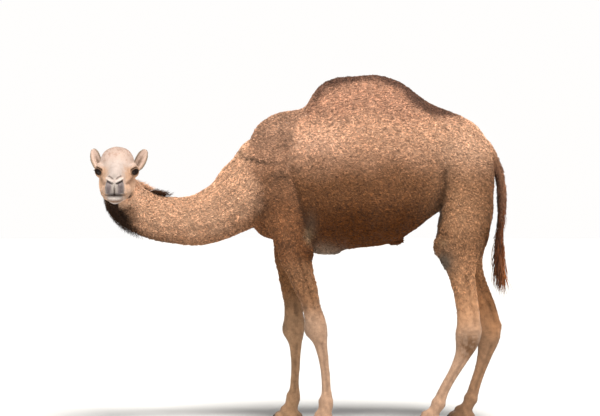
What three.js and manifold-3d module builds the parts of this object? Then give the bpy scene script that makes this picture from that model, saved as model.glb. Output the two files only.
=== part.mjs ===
// A standing dromedary camel, life size: the neck reaches forward and low, the head is turned to its left.
// Millimetres, +Z up. The body faces -X, its left side is -Y, and the soles rest on z = 0.
import * as THREE from "three";
import { mergeVertices } from "three/addons/utils/BufferGeometryUtils.js";
import Module from "manifold-3d";

const wasm = await Module();
wasm.setup();

// ---------------------------------------------------------------- driving dimensions

const GAP = 0.3; // between nodes that touch
const WITHERS_HEIGHT = 1848;
const HUMP_HEIGHT = 2064;
const CHEST_HEIGHT = 1000; // the belly's lowest line, at the breastbone
const BREAST_X = -330;
const RUMP_X = 1128;
const BARREL_HALF_WIDTH = 310;
const SKULL_BACK = -178; // along the head, from the point between the eyes
const NOSE_TIP = 322;
const EYE_RADIUS = 23;
const EYE_AT = [10, 89, -7]; // the left eye: forward, to the left, up
const EAR_LENGTH = 132;
const EAR_WIDTH = 68;
const EAR_DEPTH = 44;

const TORSO_SEGMENTS = 24;
const TORSO_RINGS = 24;
const NECK_SEGMENTS = 18;
const NECK_RINGS = 18;
const LEG_SEGMENTS = 12;
const HEAD_SEGMENTS = 20;
const HEAD_RINGS = 16;

// ---------------------------------------------------------------- small tools

const vec = (x, y, z) => new THREE.Vector3(x, y, z);

// A smooth curve through [position, value] pairs, which keeps level where the pairs do.
function profile(pairs) {
  const slope = pairs.map((_, i) => {
    if (i === 0 || i === pairs.length - 1) return 0;
    const before = (pairs[i][1] - pairs[i - 1][1]) / (pairs[i][0] - pairs[i - 1][0]);
    const after = (pairs[i + 1][1] - pairs[i][1]) / (pairs[i + 1][0] - pairs[i][0]);
    return before * after > 0 ? (2 * before * after) / (before + after) : 0;
  });
  return (at) => {
    if (at <= pairs[0][0]) return pairs[0][1];
    if (at >= pairs.at(-1)[0]) return pairs.at(-1)[1];
    const i = pairs.findIndex((p) => p[0] > at) - 1;
    const [x0, y0] = pairs[i];
    const [x1, y1] = pairs[i + 1];
    const h = x1 - x0;
    const t = (at - x0) / h;
    const rise = t * t * (3 - 2 * t);
    const bow = t * (1 - t);
    return y0 + (y1 - y0) * rise + h * bow * (slope[i] * (1 - t) - slope[i + 1] * t);
  };
}

// One closed section: side and up are its axes, and the four half sizes are measured along them.
function section({ centre, side, up, left, right, above, below, roundAbove = 2, roundBelow = 2 }, count) {
  const power = (v, n) => Math.sign(v) * Math.abs(v) ** (2 / n);
  return Array.from({ length: count }, (_, i) => {
    const angle = (2 * Math.PI * i) / count;
    const c = Math.cos(angle);
    const s = Math.sin(angle);
    const n = s > 0 ? roundAbove : roundBelow;
    return centre
      .clone()
      .addScaledVector(side, power(c, n) * (c > 0 ? right : left))
      .addScaledVector(up, power(s, n) * (s > 0 ? above : below));
  });
}

// A closed skin over rings of points, with a fan over each end.
function loft(rings) {
  const count = rings[0].length;
  const points = rings.flat();
  const faces = [];
  for (let r = 0; r + 1 < rings.length; r++) {
    for (let i = 0; i < count; i++) {
      const j = (i + 1) % count;
      const [a, b, c, d] = [r * count + i, r * count + j, (r + 1) * count + j, (r + 1) * count + i];
      faces.push(a, b, c, a, c, d);
    }
  }
  for (const [ring, flip] of [[0, true], [rings.length - 1, false]]) {
    const middle = points.length;
    points.push(rings[ring].reduce((sum, p) => sum.add(p), vec(0, 0, 0)).divideScalar(count));
    for (let i = 0; i < count; i++) {
      const [a, b] = [ring * count + i, ring * count + ((i + 1) % count)];
      faces.push(...(flip ? [middle, b, a] : [middle, a, b]));
    }
  }
  const geometry = new THREE.BufferGeometry().setFromPoints(points).setIndex(faces);
  return solid(geometry);
}

// A three.js geometry as a solid, turned the right way out.
function solid(geometry) {
  const bare = geometry.clone();
  bare.deleteAttribute("normal");
  bare.deleteAttribute("uv");
  const merged = mergeVertices(bare, 1e-3);
  const triVerts = new Uint32Array(merged.index.array);
  const vertProperties = merged.attributes.position.array;
  const made = new wasm.Manifold(new wasm.Mesh({ numProp: 3, vertProperties, triVerts }));
  if (made.volume() > 0) return made;
  for (let i = 0; i < triVerts.length; i += 3) {
    [triVerts[i + 1], triVerts[i + 2]] = [triVerts[i + 2], triVerts[i + 1]];
  }
  return new wasm.Manifold(new wasm.Mesh({ numProp: 3, vertProperties, triVerts }));
}

const union = (solids) => solids.reduce((all, next) => all.add(next));

// A ball stretched to three half sizes along its own axes, with those axes set by a matrix.
function egg(matrix, at, [a, b, c], turn = [0, 0, 0], detail = [9, 6]) {
  const shape = new THREE.SphereGeometry(1, ...detail);
  shape.scale(a, b, c);
  shape.applyMatrix4(new THREE.Matrix4().makeRotationFromEuler(new THREE.Euler(...turn)));
  shape.translate(...at);
  shape.applyMatrix4(matrix);
  return solid(shape);
}

// A block that fills everything on the side of a plane to which the normal points.
function beyond(point, normal, reach = 1500) {
  const block = new THREE.BoxGeometry(2 * reach, 2 * reach, reach);
  block.translate(0, 0, reach / 2);
  block.applyQuaternion(new THREE.Quaternion().setFromUnitVectors(vec(0, 0, 1), normal.clone().normalize()));
  block.translate(point.x, point.y, point.z);
  return solid(block);
}

// The two halves of a solid, one each side of a thin cut.
function partAt(whole, point, normal) {
  const n = normal.clone().normalize();
  const far = whole.intersect(beyond(point.clone().addScaledVector(n, GAP / 2), n));
  const near = whole.subtract(beyond(point.clone().addScaledVector(n, -GAP / 2), n));
  return { near, far };
}

const MIDLINE = new THREE.Matrix4();
const UP = vec(0, 0, 1);
const DOWN = vec(0, 0, -1);
const REACH = 2500; // farther than any part of the animal

// ---------------------------------------------------------------- torso and hump

const backLine = profile([
  [BREAST_X, 1650], [-236, 1777], [-106, WITHERS_HEIGHT], [0, 1862], [40, 1884], [76, 1950], [112, 1992],
  [160, 2025], [266, 2052], [425, HUMP_HEIGHT], [578, 2025], [679, 1954], [779, 1887], [861, 1850],
  [962, 1815], [1033, 1772], [1086, 1700], [RUMP_X, 1600],
]);
const bellyLine = profile([
  [BREAST_X, 1210], [-236, 1120], [-106, 1052], [0, 1012], [118, CHEST_HEIGHT], [266, 1018], [425, 1036],
  [560, 1068], [679, 1140], [779, 1216], [861, 1262], [974, 1285], [1062, 1320], [RUMP_X, 1420],
]);
const flankWidth = profile([
  [BREAST_X, 95], [-236, 150], [-106, 193], [0, 222], [118, 256], [266, 292], [425, BARREL_HALF_WIDTH],
  [590, 302], [738, 266], [861, 228], [974, 205], [1062, 160], [RUMP_X, 60],
]);
const flankLevel = profile([
  [BREAST_X, 1420], [0, 1395], [266, 1365], [425, 1355], [600, 1375], [861, 1470], [974, 1520],
  [RUMP_X, 1520],
]);
const backRoundness = profile([
  [BREAST_X, 1.9], [-106, 1.75], [0, 1.68], [160, 1.64], [425, 1.62], [679, 1.66], [861, 1.85], [RUMP_X, 2],
]);
const bellyRoundness = profile([[BREAST_X, 2], [0, 1.85], [266, 2], [600, 2.15], [RUMP_X, 2]]);

function torsoLoft() {
  const rings = [];
  for (let i = 0; i < TORSO_RINGS; i++) {
    const x = THREE.MathUtils.lerp(BREAST_X, RUMP_X, i / (TORSO_RINGS - 1));
    const level = flankLevel(x);
    rings.push(
      section(
        {
          centre: vec(x, 0, level),
          side: vec(0, 1, 0),
          up: vec(0, 0, 1),
          left: flankWidth(x),
          right: flankWidth(x),
          above: backLine(x) - level,
          below: level - bellyLine(x),
          roundAbove: backRoundness(x),
          roundBelow: bellyRoundness(x),
        },
        TORSO_SEGMENTS,
      ),
    );
  }
  return loft(rings);
}

// ---------------------------------------------------------------- neck

// Stations from the chest to the skull: place, the way the nape faces, and the half sizes across it.
const NECK = [
  { at: [-200, 0, 1405], nape: [0, 0, 1], deep: 290, wide: 165 },
  { at: [-319, 0, 1352], nape: [0, 0, 1], deep: 218, wide: 146 },
  { at: [-413, 0, 1285], nape: [0, 0, 1], deep: 181, wide: 124 },
  { at: [-525, -2, 1224], nape: [0, 0, 1], deep: 165, wide: 110 },
  { at: [-643, -6, 1196], nape: [0, 0, 1], deep: 152, wide: 100 },
  { at: [-761, -14, 1201], nape: [0.1, 0, 1], deep: 144, wide: 94 },
  { at: [-866, -26, 1222], nape: [0.4, 0, 1], deep: 139, wide: 90 },
  { at: [-956, -44, 1263], nape: [0.85, 0.1, 0.8], deep: 136, wide: 88 },
  { at: [-1021, -74, 1330], nape: [1, 0.35, 0.4], deep: 125, wide: 88 },
  { at: [-1052, -118, 1408], nape: [0.7, 0.9, 0.3], deep: 106, wide: 86 },
  { at: [-1056, -172, 1470], nape: [0.2, 1, 0.6], deep: 76, wide: 70 },
];

const neckPath = new THREE.CatmullRomCurve3(NECK.map((s) => vec(...s.at)), false, "centripetal");
const neckSize = (key) => profile(NECK.map((s, i) => [i, s[key]]));
const neckDeep = neckSize("deep");
const neckWide = neckSize("wide");

// The neck's place and axes at a station, which may be a fraction.
function neckFrame(station) {
  const last = NECK.length - 1;
  const i = Math.min(Math.floor(station), last - 1);
  const hint = vec(...NECK[i].nape).lerp(vec(...NECK[i + 1].nape), station - i);
  const centre = neckPath.getPoint(station / last);
  const along = neckPath.getTangent(station / last);
  const nape = hint.addScaledVector(along, -hint.dot(along)).normalize();
  const side = vec(0, 0, 0).crossVectors(nape, along).normalize();
  return { centre, along, nape, side };
}

function neckLoft() {
  const rings = [];
  for (let i = 0; i < NECK_RINGS; i++) {
    const station = ((NECK.length - 1) * i) / (NECK_RINGS - 1);
    const { centre, nape, side } = neckFrame(station);
    const deep = neckDeep(station);
    const wide = neckWide(station);
    rings.push(
      section(
        { centre, side, up: nape, left: wide, right: wide, above: deep, below: deep, roundAbove: 1.9 },
        NECK_SEGMENTS,
      ),
    );
  }
  return loft(rings);
}

// ---------------------------------------------------------------- legs

// Half sizes down a leg: step, fore, aft, across, and the distance of its middle from the body's.
// Steps count joints: 1 is the shoulder or hip, 2 the elbow or stifle, 3 the knee or hock, 4 the fetlock.
const FRONT_LEG = [
  [0, 95, 95, 38, 92], [0.28, 120, 118, 60, 104], [0.6, 138, 134, 76, 114], [1, 144, 140, 86, 124],
  [1.35, 143, 138, 88, 132], [1.7, 126, 126, 80, 141], [2, 110, 106, 71, 146], [2.18, 112, 88, 66, 146],
  [2.36, 94, 78, 61, 143], [2.54, 81, 67, 55, 139], [2.75, 66, 52, 49, 134], [2.88, 69, 60, 52, 131],
  [3, 80, 62, 57, 129],
  [3.08, 72, 57, 55, 129], [3.22, 40, 45, 41, 129], [3.39, 28, 40, 31, 129], [3.58, 23, 37, 28, 130],
  [3.78, 24, 35, 29, 131], [3.9, 31, 41, 36, 132], [4, 46, 47, 44, 133], [4.35, 44, 44, 43, 134],
  [4.62, 62, 48, 56, 134],
];
const HIND_LEG = [
  [0, 85, 60, 42, 96], [0.5, 112, 104, 68, 108], [1, 126, 142, 88, 118], [1.25, 124, 172, 100, 126],
  [1.5, 110, 198, 98, 130], [1.75, 94, 206, 92, 134], [1.94, 88, 200, 85, 138], [2.06, 83, 176, 78, 140],
  [2.16, 72, 156, 72, 139], [2.25, 54, 140, 66, 137], [2.33, 42, 125, 61, 134], [2.48, 44, 107, 56, 129],
  [2.61, 52, 93, 51, 124], [2.77, 63, 79, 47, 118],
  [2.88, 74, 73, 49, 115], [3, 88, 69, 53, 113], [3.08, 84, 70, 51, 113], [3.19, 68, 62, 43, 114],
  [3.36, 51, 46, 35, 116], [3.6, 37, 40, 31, 119], [3.85, 34, 42, 33, 122], [4, 41, 45, 42, 124],
  [4.4, 46, 46, 43, 125], [4.62, 58, 46, 54, 125],
];

// Each leg's joints as [x, z], from the top of its muscles to the middle of its sole.
const LEGS = [
  {
    name: "front_left", left: true, shape: FRONT_LEG, cut: 1105,
    joints: [[-70, 1690], [-124, 1375], [-38, 1055], [102, 568], [151, 134], [132, 0]],
    foot: { long: 88, wide: 78 },
  },
  {
    name: "front_right", left: false, shape: FRONT_LEG, cut: 1105,
    joints: [[-70, 1690], [-124, 1375], [-54, 1050], [-30, 550], [-41, 134], [-70, 0]],
    foot: { long: 88, wide: 78 },
  },
  {
    name: "hind_left", left: true, shape: HIND_LEG, cut: 1255,
    joints: [[1000, 1690], [988, 1540], [873, 1040], [989, 533], [803, 123], [748, 0]],
    foot: { long: 82, wide: 70 },
  },
  {
    name: "hind_right", left: false, shape: HIND_LEG, cut: 1255,
    joints: [[1000, 1690], [988, 1540], [930, 1045], [1132, 537], [1018, 123], [968, 0]],
    foot: { long: 82, wide: 70 },
  },
];

const legSizes = (shape) => [1, 2, 3, 4].map((column) => profile(shape.map((row) => [row[0], row[column]])));

function legLoft(leg, grow = 0) {
  const [fore, aft, across, out] = legSizes(leg.shape);
  const outward = leg.left ? -1 : 1;
  const lean = profile(leg.joints.map(([x], i) => [i, x]));
  const rings = leg.shape.map(([step]) => {
    const i = Math.min(Math.floor(step), leg.joints.length - 2);
    const z = THREE.MathUtils.lerp(leg.joints[i][1], leg.joints[i + 1][1], step - i);
    return section(
      {
        centre: vec(lean(step), outward * out(step), z),
        side: vec(1, 0, 0),
        up: vec(0, 1, 0),
        left: fore(step) + grow,
        right: aft(step) + grow,
        above: across(step) + grow,
        below: across(step) + grow,
        roundAbove: step < 2.2 ? 2.7 : 2.1,
        roundBelow: step < 2.2 ? 2.7 : 2.1,
      },
      LEG_SEGMENTS,
    );
  });
  return loft(rings);
}

const NAIL_SIZE = [16, 15, 15];
const NAIL_FOOT = 7; // above the sole

// A broad two-toed pad under the leg's end, flat below, with its two nails apart from it.
function makeFoot(leg, legEnd) {
  const { long, wide } = leg.foot;
  const [x, y] = [leg.joints[5][0], (leg.left ? -1 : 1) * 134];
  const pad = egg(MIDLINE, [x + 8, y, 24], [long - 6, wide, 44], [0, 0, 0], [12, 5]);
  const toes = [];
  const nails = [];
  for (const side of [-1, 1]) {
    const splay = -side * 0.14;
    const toeY = y + side * wide * 0.47;
    const toeSize = [long * 0.62, wide * 0.47, 38];
    toes.push(egg(MIDLINE, [x - long * 0.4, toeY, 22], toeSize, [0, 0, splay], [8, 5]));
    const nailX = x - long * 0.4 - toeSize[0] + 13;
    nails.push({ at: [nailX, toeY + side * 3, 21], side });
  }
  let foot = union([legEnd, pad, ...toes]).intersect(beyond(vec(0, 0, 0), UP, REACH));
  for (const made of nails) {
    const shape = (grow) => egg(MIDLINE, made.at, NAIL_SIZE.map((s) => s + grow), [0, 0.2, 0], [7, 4]);
    made.nail = shape(0).intersect(beyond(vec(0, 0, NAIL_FOOT), UP, REACH));
    foot = foot.subtract(shape(GAP));
  }
  return { foot, nails };
}

// ---------------------------------------------------------------- head

// The head's own axes: X forward to the nose, Y to its left, Z up, from the point midway between the eyes.
const HEAD_AT = vec(-1050, -286, 1486);
const HEAD_TURN = THREE.MathUtils.degToRad(3.6); // of the nose from straight left, towards the tail
const HEAD_DROP = THREE.MathUtils.degToRad(8); // of the nose below level

function headMatrix() {
  const forward = vec(Math.sin(HEAD_TURN), -Math.cos(HEAD_TURN), 0);
  const left = vec(0, 0, 1).cross(forward);
  const level = new THREE.Matrix4().makeBasis(forward, left, vec(0, 0, 1)).setPosition(HEAD_AT);
  return level.multiply(new THREE.Matrix4().makeRotationY(HEAD_DROP));
}
const HEAD = headMatrix();

const crown = profile([
  [SKULL_BACK, 62], [-150, 99], [-105, 125], [-60, 129], [-20, 117], [30, 90], [80, 60], [130, 40], [190, 26],
  [245, 16], [285, 0], [308, -26], [NOSE_TIP, -58],
]);
const jaw = profile([
  [SKULL_BACK, -78], [-150, -122], [-105, -152], [-60, -158], [0, -150], [60, -138], [120, -126], [190, -120],
  [240, -122], [285, -120], [308, -108], [NOSE_TIP, -88],
]);
const faceWidth = profile([
  [SKULL_BACK, 44], [-150, 76], [-105, 98], [-60, 107], [-10, 103], [40, 88], [90, 70], [140, 61], [200, 56],
  [250, 56], [285, 50], [308, 38], [NOSE_TIP, 18],
]);
const faceLevel = profile([
  [SKULL_BACK, -10], [-60, -12], [20, -30], [100, -58], [200, -70], [NOSE_TIP, -74],
]);
const crownRoundness = profile([
  [SKULL_BACK, 2], [-60, 2.45], [30, 2], [120, 1.7], [220, 1.75], [NOSE_TIP, 2],
]);

function headLoft(grow = 0) {
  const rings = [];
  for (let i = 0; i < HEAD_RINGS; i++) {
    const x = THREE.MathUtils.lerp(SKULL_BACK, NOSE_TIP, i / (HEAD_RINGS - 1));
    const level = faceLevel(x);
    const width = faceWidth(x) + grow;
    const end = (i === 0 ? -grow : 0) + (i === HEAD_RINGS - 1 ? grow : 0);
    rings.push(
      section(
        {
          centre: vec(x + end, 0, level),
          side: vec(0, 1, 0),
          up: vec(0, 0, 1),
          left: width,
          right: width,
          above: crown(x) - level + grow,
          below: level - jaw(x) + grow,
          roundAbove: crownRoundness(x),
          roundBelow: 2,
        },
        HEAD_SEGMENTS,
      ).map((p) => p.applyMatrix4(HEAD)),
    );
  }
  return loft(rings);
}

function eyeBall(side, grow = 0) {
  const [forward, out, up] = EYE_AT;
  return egg(HEAD, [forward, side * out, up], Array(3).fill(EYE_RADIUS + grow), [0, 0, 0], [12, 9]);
}

// Each ear's root on the skull, the way to its tip and the way its cup faces. The right ear is laid back.
const EARS = {
  left: { side: 1, root: [-112, 106, -6], tip: [-0.12, 0.45, 0.87], mouth: [1, 0.36, 0.05] },
  right: { side: -1, root: [-112, -104, 0], tip: [-0.42, -0.36, 0.83], mouth: [1, -0.62, 0.3] },
};

function earMatrix({ root, tip, mouth }) {
  const tipward = vec(...tip).normalize();
  const open = vec(...mouth);
  open.addScaledVector(tipward, -open.dot(tipward)).normalize();
  const across = vec(0, 0, 0).crossVectors(tipward, open);
  const axes = new THREE.Matrix4().makeBasis(open, across, tipward).setPosition(vec(...root));
  return HEAD.clone().multiply(axes);
}

// The outside of an ear: a leaf on a short stem that is sunk in the skull.
function earShape(ear, grow = 0) {
  const frame = earMatrix(ear);
  const half = EAR_LENGTH / 2;
  const leafSize = [EAR_DEPTH / 2 + grow, EAR_WIDTH / 2 + grow, half + grow];
  const leaf = egg(frame, [0, 0, half], leafSize, [0, 0, 0], [12, 8]);
  return leaf.add(egg(frame, [-2, 0, 8], [20 + grow, 21 + grow, 30 + grow], [0, 0, 0], [8, 5]));
}

// An ear with its cup.
function makeEar(ear) {
  const half = EAR_LENGTH / 2;
  const opening = [21, EAR_WIDTH / 2 - 6, half - 9];
  return earShape(ear).subtract(egg(earMatrix(ear), [13, 0, half + 6], opening, [0, -0.05, 0], [12, 8]));
}

// The bulges that the skull and the soft parts raise on each side, as place, half sizes and turn.
const CHEEK = { at: [-44, 60, -78], size: [92, 46, 86] };
const headBulges = (side) => [
  [[-16, side * 88, -7], [54, 40, 43], [0, 0, 0]], // orbit and lids
  [[-6, side * 82, 24], [50, 34, 18], [side * 0.3, 0.1, side * -0.1]], // brow
  [[CHEEK.at[0], side * CHEEK.at[1], CHEEK.at[2]], CHEEK.size, [0, 0, 0]],
  [[110, side * 52, -104], [106, 36, 42], [0, 0, side * -0.08]], // side of the lower jaw
  [[206, side * 42, -92], [68, 32, 40], [0, 0, side * -0.12]], // corner of the lips
  [[280, side * 22, -66], [42, 34, 43], [0, 0, 0]], // half of the upper lip
  [[266, side * 27, -22], [44, 24, 22], [0, 0.4, side * -0.2]], // nostril's wing
];

// A slit that follows the lips from the nose to their corners; the jaws stay joined behind it.
function mouthSlit() {
  const slit = new THREE.BoxGeometry(150, 220, 8);
  slit.applyMatrix4(new THREE.Matrix4().makeRotationY(-0.12)).translate(264, 0, -109).applyMatrix4(HEAD);
  return solid(slit).subtract(headLoft(-11)).subtract(egg(HEAD, [226, 0, -112], [76, 34, 40]));
}

function makeHead() {
  const forms = [headLoft()];
  for (const side of [-1, 1]) {
    for (const [at, size, turn] of headBulges(side)) forms.push(egg(HEAD, at, size, turn));
  }
  forms.push(egg(HEAD, [256, 0, -128], [52, 42, 26], [0, -0.06, 0])); // lower lip and chin
  forms.push(egg(HEAD, [206, 0, -130], [68, 48, 38], [0, -0.06, 0]));
  const cleft = new THREE.BoxGeometry(40, 4, 52).translate(328, 0, -80).applyMatrix4(HEAD);
  let head = union(forms).subtract(mouthSlit()).subtract(solid(cleft));
  for (const ear of Object.values(EARS)) {
    const { side } = ear;
    head = head
      .subtract(egg(HEAD, [306, side * 30, -33], [26, 4.5, 20], [side * 1.1, 0.1, side * -0.35])) // nostril
      .subtract(egg(HEAD, [28, side * 113, -8], [27, 30, 15], [0, 0.06, side * -0.7])) // between the lids
      .subtract(eyeBall(side, GAP))
      .subtract(earShape(ear, GAP));
  }
  return head;
}

// ---------------------------------------------------------------- tail

const TAIL = [
  { at: [1062, 0, 1660], thick: 44 }, { at: [1106, 0, 1612], thick: 40 }, { at: [1150, 0, 1540], thick: 34 },
  { at: [1181, 0, 1440], thick: 32 }, { at: [1191, 0, 1330], thick: 32 }, { at: [1188, 0, 1220], thick: 27 },
  { at: [1179, 0, 1130], thick: 23 }, { at: [1177, 0, 1060], thick: 26 }, { at: [1178, 0, 980], thick: 26 },
  { at: [1182, 0, 890], thick: 12 },
];
const TAIL_CUT = 1075;
const tailPath = new THREE.CatmullRomCurve3(TAIL.map((s) => vec(...s.at)));
const tailThick = profile(TAIL.map((s, i) => [i / (TAIL.length - 1), s.thick]));

function tailLoft(grow = 0) {
  const rings = [];
  const count = 14;
  for (let i = 0; i <= count; i++) {
    const t = i / count;
    const along = tailPath.getTangent(t);
    const side = vec(0, 1, 0);
    const up = vec(0, 0, 0).crossVectors(along, side).normalize();
    const size = tailThick(t) + grow;
    const centre = tailPath.getPoint(t).addScaledVector(along, i === 0 ? -2 * grow : 0);
    rings.push(section({ centre, side, up, left: size, right: size, above: size, below: size }, 10));
  }
  return loft(rings);
}

// ---------------------------------------------------------------- locks of long hair

// One flat lock that tapers and bends as it leaves its root.
function lock({ root, along, out, length, width, bend = 0.2, steps = 3 }) {
  const lie = along.clone().normalize();
  const flat = out.clone().addScaledVector(lie, -out.dot(lie)).normalize();
  const across = vec(0, 0, 0).crossVectors(lie, flat);
  const rings = [];
  for (let i = 0; i <= steps; i++) {
    const t = i / steps;
    const half = (width / 2) * (i === steps ? 0.12 : (1 - t) ** 0.6 * (0.75 + t));
    const thick = half * 0.45 + 1.2;
    const centre = root
      .clone()
      .addScaledVector(lie, length * t)
      .addScaledVector(flat, length * bend * t * t);
    rings.push(
      section({ centre, side: across, up: flat, left: half, right: half, above: thick, below: thick }, 4),
    );
  }
  return loft(rings);
}

// Steady made-up numbers from 0 to 1, so that every build is the same.
function seeded(seed) {
  let state = seed;
  return () => {
    state = (state * 1664525 + 1013904223) % 4294967296;
    return state / 4294967296;
  };
}

// Locks over a patch of the neck: stations along it, and angles round it from the nape.
function neckLocks({ seed, from, to, rows, turn, spread, columns, length, width, lean, fall }) {
  const random = seeded(seed);
  const locks = [];
  for (let r = 0; r < rows; r++) {
    for (let c = 0; c < columns; c++) {
      const station = THREE.MathUtils.lerp(from, to, (r + 0.6 * random()) / rows);
      const angle = turn + spread * ((c + 0.5 + (r % 2) * 0.5) / columns - 0.5) * 2 + 0.08 * (random() - 0.5);
      const { centre, along, nape, side } = neckFrame(station);
      const out = nape.clone().multiplyScalar(Math.cos(angle)).addScaledVector(side, Math.sin(angle));
      const reach = 1 / Math.hypot(Math.cos(angle) / neckDeep(station), Math.sin(angle) / neckWide(station));
      const root = centre.clone().addScaledVector(out, reach - 14);
      const lie = along.clone().multiplyScalar(-lean).addScaledVector(out, 1).add(fall);
      const grown = length * (0.8 + 0.4 * random());
      locks.push(lock({ root, along: lie, out: along.clone().negate(), length: grown, width, bend: 0.22 }));
    }
  }
  return locks;
}

const beard = () =>
  neckLocks({
    seed: 11, from: 6.6, to: 8.5, rows: 6, turn: Math.PI, spread: 0.9, columns: 5,
    length: 68, width: 42, lean: 0.45, fall: vec(0, 0, -0.3),
  });
const mane = () =>
  neckLocks({
    seed: 23, from: 6.2, to: 8.2, rows: 6, turn: 0, spread: 0.28, columns: 2,
    length: 66, width: 36, lean: 0.6, fall: vec(0.2, 0, 0.1),
  });

// Long hairs that close round the tail's end and hang past it.
function tuftLocks() {
  const random = seeded(7);
  const locks = [];
  const [rows, columns] = [3, 4];
  for (let r = 0; r < rows; r++) {
    for (let c = 0; c < columns; c++) {
      const t = THREE.MathUtils.lerp(0.8, 0.96, r / (rows - 1));
      const angle = (2 * Math.PI * (c + 0.5 * (r % 2) + 0.3 * random())) / columns;
      const out = vec(Math.cos(angle), Math.sin(angle), 0);
      const root = tailPath.getPoint(t).addScaledVector(out, tailThick(t) * 0.55);
      const lie = vec(0, 0, -1).addScaledVector(out, 0.34);
      const length = 110 + 40 * random();
      locks.push(lock({ root, along: lie, out, length, width: 44, bend: -0.24 }));
    }
  }
  return locks;
}

// ---------------------------------------------------------------- assembly

const group = new THREE.Group();

function add(name, shape, colour, roughness = 0.9) {
  const biggest = shape.decompose().reduce((a, b) => (b.volume() > a.volume() ? b : a));
  const { vertProperties, triVerts, numProp, numVert } = biggest.getMesh();
  const position = new Float32Array(numVert * 3);
  for (let i = 0; i < numVert; i++) {
    position.set(vertProperties.subarray(i * numProp, i * numProp + 3), i * 3);
  }
  const geometry = new THREE.BufferGeometry();
  geometry.setAttribute("position", new THREE.BufferAttribute(position, 3));
  geometry.setIndex(new THREE.BufferAttribute(new Uint32Array(triVerts), 1));
  geometry.computeVertexNormals();
  const material = new THREE.MeshStandardMaterial({ color: colour, roughness, metalness: 0 });
  const mesh = new THREE.Mesh(geometry, material);
  mesh.name = name;
  group.add(mesh);
}

const TAN = 0xb98a66;
const PALE = 0xe2c4a6;
const DARK = 0x5a4334;
const LEG_TAN = 0xbd9670;
const HORN = 0x4a4038;
const EYE_BROWN = 0x1c1410;

function addHead() {
  add("head", makeHead(), PALE);
  for (const [word, ear] of Object.entries(EARS)) {
    add(`eye_${word}`, eyeBall(ear.side), EYE_BROWN, 0.1);
    add(`ear_${word}`, makeEar(ear), PALE);
  }
}

// The room that a cheek takes, a little larger than the cheek.
function cheekRoom(side) {
  const [forward, out, up] = CHEEK.at;
  return egg(HEAD, [forward, side * out, up], CHEEK.size.map((half) => half + 2 * GAP));
}

// The neck is cut from the chest across its root, and again half way. The chest is left for the trunk.
function addNeck() {
  const middle = neckFrame(5);
  const body = torsoLoft().add(neckLoft());
  const { near: chest, far: free } = partAt(body, vec(-338, 0, 1400), vec(-1, 0, -0.1));
  const { near: lower, far: upper } = partAt(free, middle.centre, middle.along);
  const start = middle.centre.clone().addScaledVector(middle.along, GAP / 2);
  const hairy = union([upper, ...beard(), ...mane()])
    .intersect(beyond(start, middle.along))
    .subtract(headLoft(GAP))
    .subtract(cheekRoom(1))
    .subtract(cheekRoom(-1));
  add("neck_lower", lower, TAN);
  add("neck_upper", hairy, TAN);
  return chest;
}

// The trunk takes in the tops of the legs, and gives up the room of the legs and tail that it carries.
function addTrunk(chest) {
  let trunk = chest;
  for (const leg of LEGS) trunk = trunk.add(partAt(legLoft(leg), vec(0, 0, leg.cut), DOWN).near);
  for (const leg of LEGS) {
    const room = legLoft(leg, GAP).subtract(beyond(vec(0, 0, leg.cut), UP, REACH));
    trunk = trunk.subtract(room);
  }
  trunk = trunk.subtract(tailLoft(GAP));
  const { near: torso, far: top } = partAt(trunk, vec(40, 0, 1890), vec(0.045, 0, 1));
  add("torso", torso, TAN);
  add("hump", top.subtract(beyond(vec(20, 0, 1890), vec(-1, 0, 0.2))), TAN);
}

function addLeg(leg) {
  const [knee, fetlock] = [leg.joints[3][1], leg.joints[4][1]];
  const footTop = fetlock - 48;
  const free = partAt(legLoft(leg), vec(0, 0, leg.cut), DOWN).far;
  const shin = partAt(free, vec(0, 0, THREE.MathUtils.lerp(knee, fetlock, 0.38)), DOWN);
  const ankle = partAt(shin.far, vec(0, 0, footTop), DOWN);
  const word = leg.name.replace("_", "_leg_");
  add(`${word}_upper`, shin.near, TAN);
  add(`${word}_lower`, ankle.near, LEG_TAN);
  const { foot, nails } = makeFoot(leg, ankle.far);
  add(`foot_${leg.name}`, foot.intersect(beyond(vec(0, 0, footTop - GAP / 2), DOWN, REACH)), LEG_TAN);
  for (const { nail, side } of nails) {
    const place = (side < 0) === leg.left ? "outer" : "inner";
    add(`nail_${leg.name}_${place}`, nail, HORN, 0.5);
  }
}

function addTail() {
  const { near: tail, far: end } = partAt(tailLoft(), vec(0, 0, TAIL_CUT), DOWN);
  const tuft = union([end, ...tuftLocks()]).subtract(beyond(vec(0, 0, TAIL_CUT - GAP / 2), UP));
  add("tail", tail, TAN);
  add("tail_tuft", tuft, DARK);
}

addHead();
addTrunk(addNeck());
LEGS.forEach(addLeg);
addTail();

// The origin is under the middle of the whole animal.
const bounds = new THREE.Box3().setFromObject(group);
const middle = bounds.getCenter(vec(0, 0, 0));
group.position.set(-middle.x, -middle.y, -bounds.min.z);

export default group;
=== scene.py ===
"""A standing dromedary camel with a curly coat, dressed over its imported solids.

Shapes are worked out in millimetres in the animal's own frame: it faces -X, its left side is -Y, +Z is up,
and the soles rest on z = 0. They are moved to the row frame and to metres when a mesh is made.
"""

import math

import bpy
import numpy as np
from mathutils import Euler, Matrix, Vector


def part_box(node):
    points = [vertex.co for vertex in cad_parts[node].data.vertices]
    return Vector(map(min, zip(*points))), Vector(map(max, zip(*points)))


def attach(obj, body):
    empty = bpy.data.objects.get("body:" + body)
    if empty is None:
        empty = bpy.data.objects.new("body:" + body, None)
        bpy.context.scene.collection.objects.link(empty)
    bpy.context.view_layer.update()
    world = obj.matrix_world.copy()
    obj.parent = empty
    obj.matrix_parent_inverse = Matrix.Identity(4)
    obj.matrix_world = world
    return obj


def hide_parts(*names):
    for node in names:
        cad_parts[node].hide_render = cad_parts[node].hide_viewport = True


# ---------------------------------------------------------------- driving dimensions (mm)

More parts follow.
